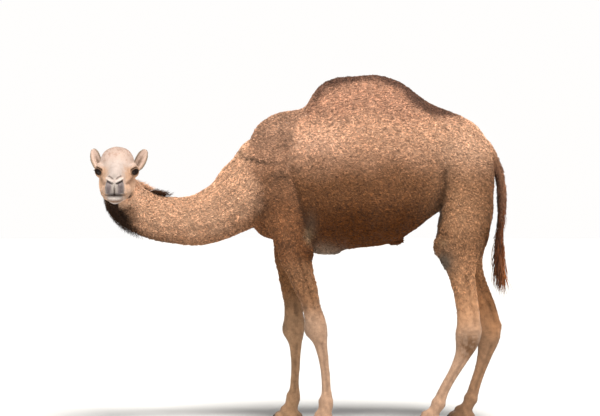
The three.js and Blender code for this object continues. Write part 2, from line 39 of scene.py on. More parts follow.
BODY_VOXEL = 9.2
HEAD_VOXEL = 3.1
WOOL_DEPTH = 9.0  # from the skin to the outside of the curls
SLEEK_DEPTH = 3.0  # the same on the legs
FACE_DEPTH = 2.0
EYE_RADIUS = 23.0
EYE = (10.0, 89.0, -7.0)  # the left eye, in the head's own axes
GAZE = Vector((0.62, 0.78, 0.02)).normalized()
EAR_LENGTH = 132.0
EAR_HALF_WIDTH = 34.0
EARS = {  # root, the way to the tip, and the way the cup faces, for the left ear (1) and the right (-1)
    1: ((-112, 106, -6), (-0.12, 0.45, 0.87), (1, 0.36, 0.05)),
    -1: ((-112, -104, 0), (-0.42, -0.36, 0.83), (1, -0.62, 0.3)),
}
HEAD_AT = (-1050.0, -286.0, 1486.0)
HEAD_TURN = math.radians(3.6)
HEAD_DROP = math.radians(8.0)
UNDER_SHARE = 0.76  # of the body's sampled places that carry a tuft of the under layer
CURL_SHARE = 0.38  # of the same that carry a curl over it
PIECE_LIMIT = 190_000  # triangles in one piece of the coat
LENS = 101.7  # the camera's focal length
CAMERA_AWAY = 10.0  # metres from the animal's middle
CAMERA_UP = 1.27
LIGHTS = {  # energy, angular size, and the way it shines
    "key": (4.95, 0.35, (-0.14, 0.4, -0.9)),
    "fill": (1.1, 1.0, (0.15, 1.0, -0.05)),
}
SKY_LIGHT = 0.42  # what the pale surround gives as light
SKY_SEEN = 1.0  # and how bright it is behind the animal

rng = np.random.default_rng(20)

# ---------------------------------------------------------------- curves, sections and solids

def profile(pairs):
    """A smooth curve through (position, value) pairs, which keeps level where the pairs do."""
    xs, ys = np.array(pairs, float).T
    rise = np.diff(ys) / np.diff(xs)
    product = rise[:-1] * rise[1:]
    slope = np.zeros(len(xs))
    total = np.where(product > 0, rise[:-1] + rise[1:], 1.0)
    slope[1:-1] = np.where(product > 0, 2 * product / total, 0.0)

    def value(x):
        x = np.clip(x, xs[0], xs[-1])
        i = np.clip(np.searchsorted(xs, x, side="right") - 1, 0, len(xs) - 2)
        h = xs[i + 1] - xs[i]
        t = (x - xs[i]) / h
        bow = h * t * (1 - t) * (slope[i] * (1 - t) - slope[i + 1] * t)
        return ys[i] + (ys[i + 1] - ys[i]) * t * t * (3 - 2 * t) + bow

    return value


def section(centre, side, up, left, right, above, below, round_above=2.0, round_below=2.0, count=28):
    """One closed ring of points: side and up are its axes, and the four half sizes lie along them."""
    angle = np.linspace(0, 2 * np.pi, count, endpoint=False)
    c, s = np.cos(angle), np.sin(angle)
    n = np.where(s > 0, round_above, round_below)
    across = np.sign(c) * np.abs(c) ** (2 / n) * np.where(c > 0, right, left)
    high = np.sign(s) * np.abs(s) ** (2 / n) * np.where(s > 0, above, below)
    return np.array(centre) + across[:, None] * np.array(side) + high[:, None] * np.array(up)


def loft(rings):
    """A closed solid through rings of points, as (points, faces)."""
    count = len(rings[0])
    points = np.concatenate([*rings, [rings[0].mean(0)], [rings[-1].mean(0)]])
    faces = []
    ends = len(rings) * count
    for i in range(count):
        j = (i + 1) % count
        for r in range(len(rings) - 1):
            faces.append((r * count + i, r * count + j, (r + 1) * count + j, (r + 1) * count + i))
        faces.append((ends, j, i))
        faces.append((ends + 1, ends - count + i, ends - count + j))
    return facing_out(points, faces)


def facing_out(points, faces):
    """The same solid with its faces turned outwards."""
    volume = 0.0
    for face in faces:
        for k in range(1, len(face) - 1):
            volume += np.dot(points[face[0]], np.cross(points[face[k]], points[face[k + 1]]))
    return (points, faces) if volume > 0 else (points, [f[::-1] for f in faces])


def egg(at, size, turn=(0, 0, 0), matrix=None, rings=16, count=28):
    """A ball stretched to three half sizes, turned, and placed."""
    spin = np.array(Euler(turn).to_matrix())
    angle = np.linspace(0, 2 * np.pi, count, endpoint=False)
    made = []
    for latitude in np.linspace(-np.pi / 2, np.pi / 2, rings + 1)[1:-1]:
        flat = np.cos(latitude)
        high = np.full(count, np.sin(latitude))
        ball = np.stack([flat * np.cos(angle), flat * np.sin(angle), high], 1)
        made.append((ball * np.array(size)) @ spin.T + np.array(at))
    points, faces = loft(made)
    return (place(points, matrix) if matrix is not None else points), faces


def place(points, matrix):
    m = np.array(matrix)
    return points @ m[:3, :3].T + m[:3, 3]


def unplace(points, matrix):
    return place(points, matrix.inverted())


def unit(v):
    return v / np.maximum(np.linalg.norm(v, axis=-1, keepdims=True), 1e-9)


def ramp(value, start, end):
    """0 up to start, 1 past end, and a smooth step between them; start may be the larger."""
    t = np.clip((value - start) / (end - start), 0, 1)
    return t * t * (3 - 2 * t)


def toward(rows, target, amount):
    """Each row moved towards the target by its own amount."""
    return rows + np.clip(amount, 0, 1)[:, None] * (target - rows)


# ---------------------------------------------------------------- the head's axes, and the row frame

def head_matrix():
    """From the head's axes (X to the nose, Y to its left, Z up, from between the eyes) to the animal's."""
    forward = Vector((math.sin(HEAD_TURN), -math.cos(HEAD_TURN), 0))
    left = Vector((0, 0, 1)).cross(forward)
    level = Matrix((forward, left, (0, 0, 1))).transposed().to_4x4()
    return Matrix.Translation(HEAD_AT) @ level @ Matrix.Rotation(HEAD_DROP, 4, "Y")


HEAD = head_matrix()

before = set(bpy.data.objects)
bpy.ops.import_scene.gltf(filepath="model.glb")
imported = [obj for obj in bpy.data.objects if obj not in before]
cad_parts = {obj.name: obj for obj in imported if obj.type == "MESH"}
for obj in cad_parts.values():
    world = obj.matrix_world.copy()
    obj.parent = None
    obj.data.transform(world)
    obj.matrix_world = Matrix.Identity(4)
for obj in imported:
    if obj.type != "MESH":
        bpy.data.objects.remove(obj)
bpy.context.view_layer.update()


def row_shift():
    """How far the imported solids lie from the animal's own frame, taken from the left eye."""
    low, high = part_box("eye_left")
    return np.array((low + high) / 2) * 1000 - np.array(HEAD @ Vector(EYE))


SHIFT = row_shift()

# ---------------------------------------------------------------- body forms

BREAST_X = -330
RUMP_X = 1128
back_line = profile([
    (BREAST_X, 1650), (-236, 1777), (-106, 1848), (0, 1862), (40, 1884), (76, 1950), (112, 1992),
    (160, 2025), (266, 2052), (425, 2064), (578, 2025), (679, 1954), (779, 1887), (861, 1850),
    (962, 1815), (1033, 1772), (1086, 1700), (RUMP_X, 1600),
])
belly_line = profile([
    (BREAST_X, 1210), (-236, 1120), (-106, 1052), (0, 1012), (118, 1000), (266, 1018), (425, 1036),
    (560, 1068), (679, 1140), (779, 1216), (861, 1262), (974, 1285), (1062, 1320), (RUMP_X, 1420),
])
flank_width = profile([
    (BREAST_X, 95), (-236, 150), (-106, 193), (0, 222), (118, 256), (266, 292), (425, 310),
    (590, 302), (738, 266), (861, 228), (974, 205), (1062, 160), (RUMP_X, 60),
])
flank_level = profile([
    (BREAST_X, 1420), (0, 1395), (266, 1365), (425, 1355), (600, 1375), (861, 1470), (974, 1520),
    (RUMP_X, 1520),
])
back_round = profile([
    (BREAST_X, 1.9), (-106, 1.75), (0, 1.68), (160, 1.64), (425, 1.62), (679, 1.66), (861, 1.85), (RUMP_X, 2),
])
belly_round = profile([(BREAST_X, 2), (0, 1.85), (266, 2), (600, 2.15), (RUMP_X, 2)])

# Stations of the neck from the chest to the skull: place, the way the nape faces, half depth, half width.
NECK = [
    ((-200, 0, 1405), (0, 0, 1), 290, 165),
    ((-319, 0, 1352), (0, 0, 1), 218, 146),
    ((-413, 0, 1285), (0, 0, 1), 181, 124),
    ((-525, -2, 1224), (0, 0, 1), 165, 110),
    ((-643, -6, 1196), (0, 0, 1), 152, 100),
    ((-761, -14, 1201), (0.1, 0, 1), 144, 94),
    ((-866, -26, 1222), (0.4, 0, 1), 139, 90),
    ((-956, -44, 1263), (0.85, 0.1, 0.8), 136, 88),
    ((-1021, -74, 1330), (1, 0.35, 0.4), 125, 88),
    ((-1052, -118, 1408), (0.7, 0.9, 0.3), 106, 86),
    ((-1056, -172, 1470), (0.2, 1, 0.6), 76, 70),
]

# Down a leg: step, fore, aft, across, and the distance of its middle from the body's.
FRONT_LEG = [
    (0, 95, 95, 38, 92), (0.28, 120, 118, 60, 104), (0.6, 138, 134, 76, 114), (1, 144, 140, 86, 124),
    (1.35, 143, 138, 88, 132), (1.7, 126, 126, 80, 141), (2, 110, 106, 71, 146), (2.18, 112, 88, 66, 146),
    (2.36, 94, 78, 61, 143), (2.54, 81, 67, 55, 139), (2.75, 66, 52, 49, 134), (2.88, 69, 60, 52, 131),
    (3, 80, 62, 57, 129), (3.08, 72, 57, 55, 129), (3.22, 40, 45, 41, 129), (3.39, 28, 40, 31, 129),
    (3.58, 23, 37, 28, 130), (3.78, 24, 35, 29, 131), (3.9, 31, 41, 36, 132), (4, 46, 47, 44, 133),
    (4.35, 44, 44, 43, 134), (4.62, 62, 48, 56, 134),
]
HIND_LEG = [
    (0, 85, 60, 42, 96), (0.5, 112, 104, 68, 108), (1, 126, 142, 88, 118), (1.25, 124, 172, 100, 126),
    (1.5, 110, 198, 98, 130), (1.75, 94, 206, 92, 134), (1.94, 88, 200, 85, 138), (2.06, 83, 176, 78, 140),
    (2.16, 72, 156, 72, 139), (2.25, 54, 140, 66, 137), (2.33, 42, 125, 61, 134), (2.48, 44, 107, 56, 129),
    (2.61, 52, 93, 51, 124), (2.77, 63, 79, 47, 118), (2.88, 74, 73, 49, 115), (3, 88, 69, 53, 113),
    (3.08, 84, 70, 51, 113), (3.19, 68, 62, 43, 114), (3.36, 51, 46, 35, 116), (3.6, 37, 40, 31, 119),
    (3.85, 34, 42, 33, 122), (4, 41, 45, 42, 124), (4.4, 46, 46, 43, 125), (4.62, 58, 46, 54, 125),
]
FOOT = {"front": (88, 78), "hind": (82, 70)}  # half length and half width
LEG_END = 4.62  # the step at which a leg runs out inside its foot
# Each leg's side, stations, and joints (x, z) at the whole steps from its top to the sole.
LEGS = {
    "front_left": (-1, FRONT_LEG, [(-70, 1690), (-124, 1375), (-38, 1055), (102, 568), (151, 134), (132, 0)]),
    "front_right": (1, FRONT_LEG, [(-70, 1690), (-124, 1375), (-54, 1050), (-30, 550), (-41, 134), (-70, 0)]),
    "hind_left": (-1, HIND_LEG, [(1000, 1690), (988, 1540), (873, 1040), (989, 533), (803, 123), (748, 0)]),
    "hind_right": (1, HIND_LEG, [(1000, 1690), (988, 1540), (930, 1045), (1132, 537), (1018, 123), (968, 0)]),
}
KNEE_OUT = 129  # how far the knees and hocks stand from the body's middle
MIDWAY_X = 400  # legs ahead of it are front legs

# The tail's stations: place and half thickness.
TAIL = [
    ((1062, 0, 1660), 44), ((1106, 0, 1612), 40), ((1150, 0, 1540), 34), ((1181, 0, 1440), 32),
    ((1191, 0, 1330), 32), ((1188, 0, 1220), 27), ((1179, 0, 1130), 23), ((1177, 0, 1060), 26),
    ((1178, 0, 980), 26), ((1182, 0, 890), 12),
]


def torso_form():
    rings = []
    for x in np.linspace(BREAST_X, RUMP_X, 110):
        level = flank_level(x)
        side = flank_width(x) - WOOL_DEPTH
        rings.append(
            section(
                (x, 0, level), (0, 1, 0), (0, 0, 1), side, side,
                back_line(x) - level - WOOL_DEPTH, level - belly_line(x) - WOOL_DEPTH,
                back_round(x), belly_round(x), 90,
            )
        )
    return loft(rings)


def catmull(points, t):
    """A point of the smooth curve through evenly numbered points, at t of the whole."""
    p = np.array(points, float)
    p = np.concatenate([[2 * p[0] - p[1]], p, [2 * p[-1] - p[-2]]])
    at = np.clip(t, 0, 1) * (len(points) - 1)
    i = min(int(at), len(points) - 2)
    u = at - i
    a, b, c, d = p[i : i + 4]
    return 0.5 * (2 * b + (c - a) * u + (2 * a - 5 * b + 4 * c - d) * u**2 + (3 * b - a - 3 * c + d) * u**3)


def neck_frame(station):
    """Place, direction, nape and side at a station of the neck, which may be a fraction."""
    last = len(NECK) - 1
    i = min(int(station), last - 1)
    places = [row[0] for row in NECK]
    centre = catmull(places, station / last)
    ahead = catmull(places, (station + 0.02) / last) - catmull(places, (station - 0.02) / last)
    along = unit(ahead)
    share = station - i
    hint = np.array(NECK[i][1]) * (1 - share) + np.array(NECK[i + 1][1]) * share
    nape = unit(hint - along * hint.dot(along))
    return centre, along, nape, np.cross(nape, along)


neck_deep = profile([(i, row[2]) for i, row in enumerate(NECK)])
neck_wide = profile([(i, row[3]) for i, row in enumerate(NECK)])


def neck_form(start, end, depth, count=64, rings=70):
    """The neck between two stations; depth tells how far it lies under the coat at a station."""
    made = []
    for station in np.linspace(start, end, rings):
        centre, _, nape, side = neck_frame(station)
        deep = neck_deep(station) - depth(station)
        wide = neck_wide(station) - depth(station)
        made.append(section(centre, side, nape, wide, wide, deep, deep, 1.9, 2.0, count))
    return loft(made)


def kind_of(name):
    """Whether a leg is a front or a hind one."""
    return name.split("_")[0]


def leg_curve(shape, column):
    """A smooth curve down a leg through one column of its stations."""
    return profile([(row[0], row[column]) for row in shape])


def leg_lean(joints):
    """Where a leg's middle lies along the body, by step."""
    return profile([(i, x) for i, (x, _) in enumerate(joints)])


def leg_point(joints, step):
    """The place (x, z) at a step down the straight lines between a leg's joints."""
    i = min(int(step), len(joints) - 2)
    (x, z), (next_x, next_z) = joints[i], joints[i + 1]
    return x + (next_x - x) * (step - i), z + (next_z - z) * (step - i)


def leg_form(name):
    outward, shape, joints = LEGS[name]
    fore, aft, across, out = (leg_curve(shape, k) for k in range(1, 5))
    lean = leg_lean(joints)
    depth = profile([(2.2, WOOL_DEPTH), (2.8, SLEEK_DEPTH)])
    rings = []
    for step in np.linspace(0, LEG_END, 130):
        under = depth(step)
        side = across(step) - under
        centre = (lean(step), outward * out(step), leg_point(joints, step)[1])
        half = (fore(step) - under, aft(step) - under, side, side)
        n = 2.7 - 0.6 * np.clip((step - 1.9) / 0.6, 0, 1)
        rings.append(section(centre, (1, 0, 0), (0, 1, 0), *half, n, n, 48))
    return loft(rings)


def foot_forms(name):
    """The pad, two toes and the swell over them."""
    outward, _, joints = LEGS[name]
    long, wide = FOOT[kind_of(name)]
    x, y = joints[5][0], outward * 134
    forms = [egg((x + 8, y, 24), (long - 8, wide - 2, 42))]
    for side in (-1, 1):
        toe_y = y + side * wide * 0.47
        forms.append(egg((x - long * 0.4, toe_y, 22), (long * 0.61, wide * 0.46, 37), (0, 0, -side * 0.14)))
    forms.append(egg((x + 2, y, 58), (long * 0.62, wide * 0.62, 34), (0, 0.3, 0)))
    return forms


def tail_frame(t):
    places = [row[0] for row in TAIL]
    centre = catmull(places, t)
    along = unit(catmull(places, t + 0.004) - catmull(places, t - 0.004))
    return centre, along


tail_thick = profile([(i / (len(TAIL) - 1), row[1]) for i, row in enumerate(TAIL)])


def tail_form():
    rings = []
    for t in np.linspace(0.004, 0.93, 60):
        centre, along = tail_frame(t)
        up = unit(np.cross(along, (0, 1, 0)))
        size = tail_thick(t) - 4 - 6 * np.clip((t - 0.6) / 0.2, 0, 1)
        rings.append(section(centre, (0, 1, 0), up, size, size, size, size))
    return loft(rings)


FETLOCK = (3.98, 0, 0, (44, 42, 42), 0)
MUSCLES = {  # step down the leg, how far ahead of its line and out from it, half sizes, lean
    "front": [
        (1.5, -60, 22, (62, 54, 170), -0.1),  # triceps
        (1.15, 78, 14, (56, 60, 110), 0.15),  # point of the shoulder
        (2.25, 38, 12, (40, 46, 150), -0.2),  # forearm
        (2.08, -84, 8, (24, 26, 46), 0),  # elbow callus
        (3.0, 34, 0, (46, 42, 62), 0),  # knee pad
        FETLOCK,
    ],
    "hind": [
        (1.05, 70, 26, (64, 58, 120), 0.35),  # front of the thigh
        (1.5, -110, 14, (84, 70, 190), 0),  # back of the thigh
        (1.98, 52, 6, (44, 50, 72), 0),  # stifle
        (2.98, -52, 0, (24, 26, 50), 0.3),  # point of the hock
        FETLOCK,
    ],
}


def muscle_forms():
    """Muscles, bones and calluses that stand out of the plain forms, on both sides."""
    forms = []
    for name, (outward, shape, joints) in LEGS.items():
        distance = leg_curve(shape, 4)
        for step, ahead, out, size, lean in MUSCLES[kind_of(name)]:
            x, z = leg_point(joints, step)
            forms.append(egg((x - ahead, outward * (distance(step) + out), z), size, (0, lean, 0)))
    forms.append(egg((150, 0, 1036), (112, 92, 40)))  # breast pad
    forms.append(egg((560, 0, 1078), (52, 28, 28)))  # sheath
    return forms


# ---------------------------------------------------------------- meshes

def add_object(name, data):
    obj = bpy.data.objects.new(name, data)
    bpy.context.scene.collection.objects.link(obj)
    return obj


def mesh_object(name, points, faces, metres=True):
    mesh = bpy.data.meshes.new(name)
    co = (np.asarray(points) + SHIFT) * 0.001 if metres else np.asarray(points)
    mesh.from_pydata([tuple(p) for p in co], [], faces)
    mesh.validate()
    return add_object(name, mesh)


def fused(name, forms, voxel):
    """One skin round closed forms that overlap."""
    points, faces, base = [], [], 0
    for p, f in forms:
        points.append(p)
        faces += [tuple(i + base for i in face) for face in f]
        base += len(p)
    obj = mesh_object(name, np.concatenate(points), faces)
    remesh = obj.modifiers.new("remesh", "REMESH")
    remesh.mode = "VOXEL"
    remesh.voxel_size = voxel * 0.001
    graph = bpy.context.evaluated_depsgraph_get()
    skin = bpy.data.meshes.new_from_object(obj.evaluated_get(graph))
    obj.modifiers.clear()
    obj.data = skin
    return obj


def read(items, key, width, kind=float):
    """One property of all the vertices, edges or faces of a mesh, a row for each."""
    values = np.empty(len(items) * width, kind)
    items.foreach_get(key, values)
    return values.reshape(-1, width)


def coords(obj):
    return read(obj.data.vertices, "co", 3) * 1000 - SHIFT


def set_coords(obj, co):
    obj.data.vertices.foreach_set("co", ((co + SHIFT) * 0.001).ravel())
    obj.data.update()


def normals(obj):
    return read(obj.data.vertices, "normal", 3)


def edges_of(obj):
    return read(obj.data.edges, "vertices", 2, int)


def smooth(co, edges, rounds, amount):
    """Each point moved by that share towards the mean of its neighbours, so many rounds."""
    a, b = edges.T
    ends, others = np.r_[a, b], np.r_[b, a]
    count = np.maximum(np.bincount(ends, minlength=len(co)), 1)[:, None]
    for _ in range(rounds):
        total = np.stack([np.bincount(ends, weights=co[others, k], minlength=len(co)) for k in range(3)], 1)
        co = co + amount * (total / count - co)
    return co


def wobble(co, size, seed):
    """Smooth made-up unevenness, about -1 to 1, with bumps of about that size."""
    local = np.random.default_rng(seed)
    total = np.zeros(len(co))
    for _ in range(10):
        direction = unit(local.normal(size=3)) * (2 * np.pi / size) * local.uniform(0.6, 1.5)
        total += np.sin(co @ direction + local.uniform(0, 2 * np.pi))
    return total / 4.5


def near(co, centre, radii):
    """1 at the centre of an ellipsoid, fading smoothly to 0 outside its radii."""
    d = np.linalg.norm((co - np.array(centre)) / np.array(radii), axis=1)
    return np.exp(-1.4 * d * d)


def near_spot(co, x, z, half_x, half_z):
    """The same for an ellipse seen from the side, at any depth."""
    return near(co * (1, 0, 1), (x, 0, z), (half_x, 1, half_z))


def near_path(co, path, width):
    """1 on a line through points, fading smoothly to either side."""
    best = np.full(len(co), 1e9)
    for a, b in zip(path[:-1], path[1:]):
        a, b = np.array(a, float), np.array(b, float)
        t = np.clip((co - a) @ (b - a) / max((b - a) @ (b - a), 1e-9), 0, 1)
        best = np.minimum(best, np.linalg.norm(co - a - t[:, None] * (b - a), axis=1))
    return np.exp(-((best / width) ** 2))


def near_side_line(co, line, width):
    """The same for a line of places (x, z) seen from the side, at any depth."""
    return near_path(co * (1, 0, 1), [(x, 0, z) for x, z in line], width)


# ---------------------------------------------------------------- the body's skin

def neck_depth(station):
    """The body's neck dips a little under the head's, where the two run together."""
    return WOOL_DEPTH + 7 * np.clip((station - 8.2) / 0.3, 0, 1)


def leg_path(name, start, end, share):
    """A line down a leg between two steps, on its middle (share 0), back edge (1) or front edge (-1)."""
    _, shape, joints = LEGS[name]
    lean, half = leg_lean(joints), leg_curve(shape, 2 if share > 0 else 1)
    steps = np.linspace(start, end, 6)
    return [(lean(step) + half(step) * share, leg_point(joints, step)[1]) for step in steps]


SHOULDER_FOLD = [(-58, 1690), (-70, 1512), (-30, 1382), (14, 1240), (52, 1110)]
THIGH_FOLD = [(852, 1512), (836, 1430), (829, 1330), (816, 1220), (800, 1120)]
HIP_FOLD = [(846, 1740), (850, 1640), (852, 1500), (848, 1420)]
BODY_CREASES = [  # line in side view, width, depth
    (SHOULDER_FOLD, 22, 16),  # behind the shoulder
    (THIGH_FOLD, 20, 28),  # before the thigh
    (HIP_FOLD, 40, 8),  # up from it to the hip
    ([(1064, 1500), (1046, 1300), (1012, 1120)], 15, 6),  # down the back of the thigh
    ([(-316, 1300), (-330, 1215), (-316, 1130)], 9, 8),  # folds where the neck joins the chest
    ([(-288, 1280), (-300, 1205), (-284, 1120)], 9, 6),
    ([(-346, 1280), (-354, 1220), (-344, 1150)], 8, 5),
    ([(30, 1880), (80, 1820), (170, 1780)], 20, 7),  # under the hump's front
    ([(-90, 1730), (-150, 1600), (-190, 1440)], 22, -6),  # ridge of the shoulder blade
    ([(60, 1075), (200, 1062), (330, 1072)], 14, 5),  # over the breast pad
    ([(822, 1040), (852, 930), (902, 866)], 9, 6),  # under the stifle pad
    ([(4, 1150), (30, 1086), (64, 1080)], 9, 6),  # round the point of the elbow
]
UPPER_GROOVES = {"front": (2.1, 2.8, 0.1), "hind": (2.3, 2.9, 0.45)}  # from step, to step, share
CANNON = (3.2, 3.9)  # the steps between which the tendons show


def neck_line(stations, angle):
    """A line along the neck at an angle from the nape, on the side that the sign of the angle gives."""
    path = []
    for station in stations:
        centre, _, nape, side = neck_frame(station)
        out = nape * math.cos(angle) * neck_deep(station) + side * math.sin(angle) * neck_wide(station)
        path.append(tuple(centre + out))
    return path


def leg_grooves(co):
    """How near each point is to the grooves between the tendons, and to the ridges beside them."""
    groove, ridge = np.zeros(len(co)), np.zeros(len(co))
    for name, (outward, *_) in LEGS.items():
        this_leg = co[:, 1] * outward > 60
        upper, lower = leg_path(name, *UPPER_GROOVES[kind_of(name)]), leg_path(name, *CANNON, 0.25)
        for path, width in ((upper, 11), (lower, 8)):
            groove = np.maximum(groove, near_side_line(co, path, width) * this_leg)
        ridge = np.maximum(ridge, near_side_line(co, leg_path(name, *CANNON, 0.78), 8) * this_leg)
    return groove, ridge


def knee_folds(co):
    """How near each point is to the knees and hocks, and the folds of skin that run across them."""
    where = np.zeros(len(co))
    for name, (outward, _, joints) in LEGS.items():
        x, z = joints[3]
        size = (80, 70, 66) if kind_of(name) == "front" else (84, 70, 84)
        where = np.maximum(where, near(co, (x, outward * KNEE_OUT, z - 10), size))
    return where, wobble(co * (0.6, 0.6, 2.2), 30, 6)


def sculpt_body(co, n):
    lateral = np.clip(np.abs(n[:, 1]) * 1.6 - 0.2, 0, 1)
    groove, ridge = leg_grooves(co)
    knee, folds = knee_folds(co)
    move = 2.6 * wobble(co, 190, 1) + 0.8 * wobble(co, 70, 2) + 1.0 * wobble(co, 24, 4)
    move *= np.clip((co[:, 2] - 500) / 400, 0.15, 1)
    for line, width, depth in BODY_CREASES:
        top = line[0][1]
        fading = ramp(co[:, 2], top + width, top - 4 * width)
        move -= depth * near_side_line(co, line, width) * lateral * fading
    move += (5 * ridge - 8 * groove) * lateral + 3.0 * folds * knee
    move -= 11 * near_spot(co, 786, 1500, 95, 120) * lateral  # hollow of the flank
    move += 9 * near_spot(co, 905, 1660, 70, 50) * lateral  # hip bone
    move -= 6 * near_spot(co, 1010, 1690, 60, 40) * lateral  # hollow behind it
    move += 10 * near(co, (-236, 0, 1120), (70, 60, 60))  # breast bone
    move += 11 * near_spot(co, 42, 1120, 26, 26) * lateral  # point of the elbow
    move += 8 * near_spot(co, 866, 1020, 50, 60) * lateral * (co[:, 2] < 1090)  # stifle pad
    for angle in (2.0, -2.0):
        move -= 8 * near_path(co, neck_line(np.linspace(1.6, 7.4, 16), angle), 17)  # jugular groove
        move += 5 * near_path(co, neck_line(np.linspace(1.0, 6.6, 12), angle * 0.62), 26)  # muscle over it
    return co + n * move[:, None]


def body_skin():
    forms = [torso_form(), neck_form(0, 8.7, neck_depth), tail_form(), *muscle_forms()]
    for name in LEGS:
        forms += [leg_form(name), *foot_forms(name)]
    obj = fused("skin", forms, BODY_VOXEL)
    co, edges = coords(obj), edges_of(obj)
    amount = np.clip((co[:, 2] - 300) / 500, 0.25, 0.55)[:, None]
    co = smooth(co, edges, 8, amount)
    set_coords(obj, co)
    co = sculpt_body(co, normals(obj))
    co = smooth(co, edges, 1, 0.4)
    co[:, 2] = np.maximum(co[:, 2], 0)
    set_coords(obj, co)
    return obj


# ---------------------------------------------------------------- the head's skin

crown = profile([
    (-178, 62), (-150, 99), (-105, 125), (-60, 129), (-20, 117), (30, 90), (80, 60), (130, 40), (190, 26),
    (245, 16), (285, 0), (308, -26), (322, -58),
])
jaw = profile([
    (-178, -78), (-150, -122), (-105, -152), (-60, -158), (0, -150), (60, -138), (120, -126), (190, -120),
    (240, -122), (285, -120), (308, -108), (322, -88),
])
face_width = profile([
    (-178, 44), (-150, 76), (-105, 98), (-60, 107), (-10, 103), (40, 88), (90, 70), (140, 61), (200, 56),
    (250, 56), (285, 50), (308, 38), (322, 18),
])
face_level = profile([(-178, -10), (-60, -12), (20, -30), (100, -58), (200, -70), (322, -74)])
crown_round = profile([(-178, 2), (-60, 2.45), (30, 2.0), (120, 1.7), (220, 1.75), (322, 2)])


def head_form():
    rings = []
    for x in np.linspace(-176, 320, 90):
        level = face_level(x)
        side = face_width(x) - FACE_DEPTH
        above, below = crown(x) - level - FACE_DEPTH, level - jaw(x) - FACE_DEPTH
        rings.append(
            section((x, 0, level), (0, 1, 0), (0, 0, 1), side, side, above, below, crown_round(x), 2.1, 72)
        )
    points, faces = loft(rings)
    return place(points, HEAD), faces


def head_bulges(side):
    return [
        ((-16, side * 88, -7), (53, 39, 42), (0, 0, 0)),  # orbit
        ((-6, side * 82, 24), (48, 33, 17), (side * 0.3, 0.1, side * -0.1)),  # brow
        ((-44, side * 60, -78), (92, 46, 86), (0, 0, 0)),  # cheek
        ((60, side * 58, -46), (76, 22, 22), (0, 0.25, side * -0.25)),  # cheekbone
        ((278, side * 22, -66), (40, 32, 41), (0, 0, 0)),  # half of the upper lip
        ((264, side * 27, -22), (42, 22, 20), (0, 0.4, side * -0.2)),  # nostril's wing
        ((110, side * 52, -104), (104, 34, 40), (0, 0, side * -0.08)),  # side of the lower jaw
        ((206, side * 42, -92), (66, 30, 38), (0, 0, side * -0.12)),  # corner of the lips
        ((-116, side * 76, 8), (30, 28, 34), (0, 0, 0)),  # root of the ear
    ]


def ear_matrix(side):
    root, tip, mouth = (Vector(v) for v in EARS[side])
    tipward = tip.normalized()
    open_to = (mouth - tipward * mouth.dot(tipward)).normalized()
    across = tipward.cross(open_to)
    axes = Matrix((open_to, across, tipward)).transposed().to_4x4()
    return HEAD @ Matrix.Translation(root) @ axes


ear_half = profile([
    (0, 19), (0.12, 26), (0.3, 32), (0.5, EAR_HALF_WIDTH), (0.7, 31), (0.88, 22), (0.97, 12), (1, 4),
])
ear_cup = profile([(0, 1.75), (0.25, 1.35), (0.6, 1.0), (1, 0.6)])


def ear_point(s, t):
    """A point of the ear's middle sheet in its own axes; s runs from edge to edge, t from root to tip."""
    bend = ear_cup(t)
    half = ear_half(t)
    across = half * np.sin(s * bend) / np.sin(min(bend, 1.5))
    ahead = half * (1 - np.cos(s * bend)) * 0.8 - 12 + 6 * t * t
    return np.array((ahead, across, EAR_LENGTH * t - 6 * t))


def ear_sheet(s, t):
    """A place on the ear's middle sheet, the way out of it, the way to the tip, and its half thickness."""
    du = ear_point(min(s + 0.02, 1), t) - ear_point(max(s - 0.02, -1), t)
    dv = ear_point(s, min(t + 0.01, 1)) - ear_point(s, max(t - 0.01, 0))
    return ear_point(s, t), unit(np.cross(du, dv)), unit(dv), (3.6 - 1.6 * t) * (1 - 0.45 * s * s)


def ear_form(side):
    rings = []
    for t in np.linspace(0, 1, 34):
        outer, inner = [], []
        for s in np.linspace(-1, 1, 19):
            p, n, _, thick = ear_sheet(s, t)
            outer.append(p + n * thick)
            inner.append(p - n * thick)
        rings.append(np.array(outer + inner[::-1]))
    points, faces = loft(rings)
    return facing_out(place(points, ear_matrix(side)), faces)


def eye_axes(side):
    """The eye's centre, the way it looks, its nasal direction and its up, in the head's axes."""
    centre = np.array((EYE[0], side * EYE[1], EYE[2]))
    gaze = np.array((GAZE.x, side * GAZE.y, GAZE.z))
    nasal = np.cross((0, 0, 1), gaze) * -side
    nasal = unit(nasal)
    return centre, gaze, nasal, unit(np.cross(nasal, gaze) * side)


def lid_place(co, side):
    """How far each point lies from the lids' edge: under 1 inside the opening; and its height there."""
    centre, gaze, nasal, up = eye_axes(side)
    rel = co - centre
    a, b, c = rel @ nasal, rel @ up, rel @ gaze
    b = b + 0.12 * a
    height = np.where(b > 0, 15.5, 14.5)
    return np.where(c > 2, np.hypot(a / 21.0, b / height), 9.0), b


# Lines of the nose as seen from in front: out to the side, and up.
NOSTRIL = [(47, -26), (31, -32), (14, -37)]
NOSTRIL_WING = [(47, -14), (30, -21), (11, -31)]
NOSE_CREASE = [(39, -2), (25, -5), (11, -13)]
MUZZLE = (238, 258)  # along the head, where the muzzle's lines set in
NOSE_FROM = (205, 228)  # and the nose's crease


def front_path(co, path, width):
    """1 on a line that is drawn on the nose from in front."""
    return near_path(co * (0, 1, 1), [(0, y, z) for y, z in path], width)


mouth_height = profile([(150, -132), (190, -122), (264, -109), (320, -105)])


def mouth_line(co):
    """How near each point is to the slit of the mouth, and to the lips' rolled edges."""
    below = co[:, 2] - mouth_height(co[:, 0])
    ahead = ramp(co[:, 0], 176, 230)
    width = 3.0 + 3.4 * ramp(co[:, 0], 225, 285)
    return ahead * np.exp(-((below / width) ** 2)), ahead * np.exp(-(((np.abs(below) - 12) / 6) ** 2))


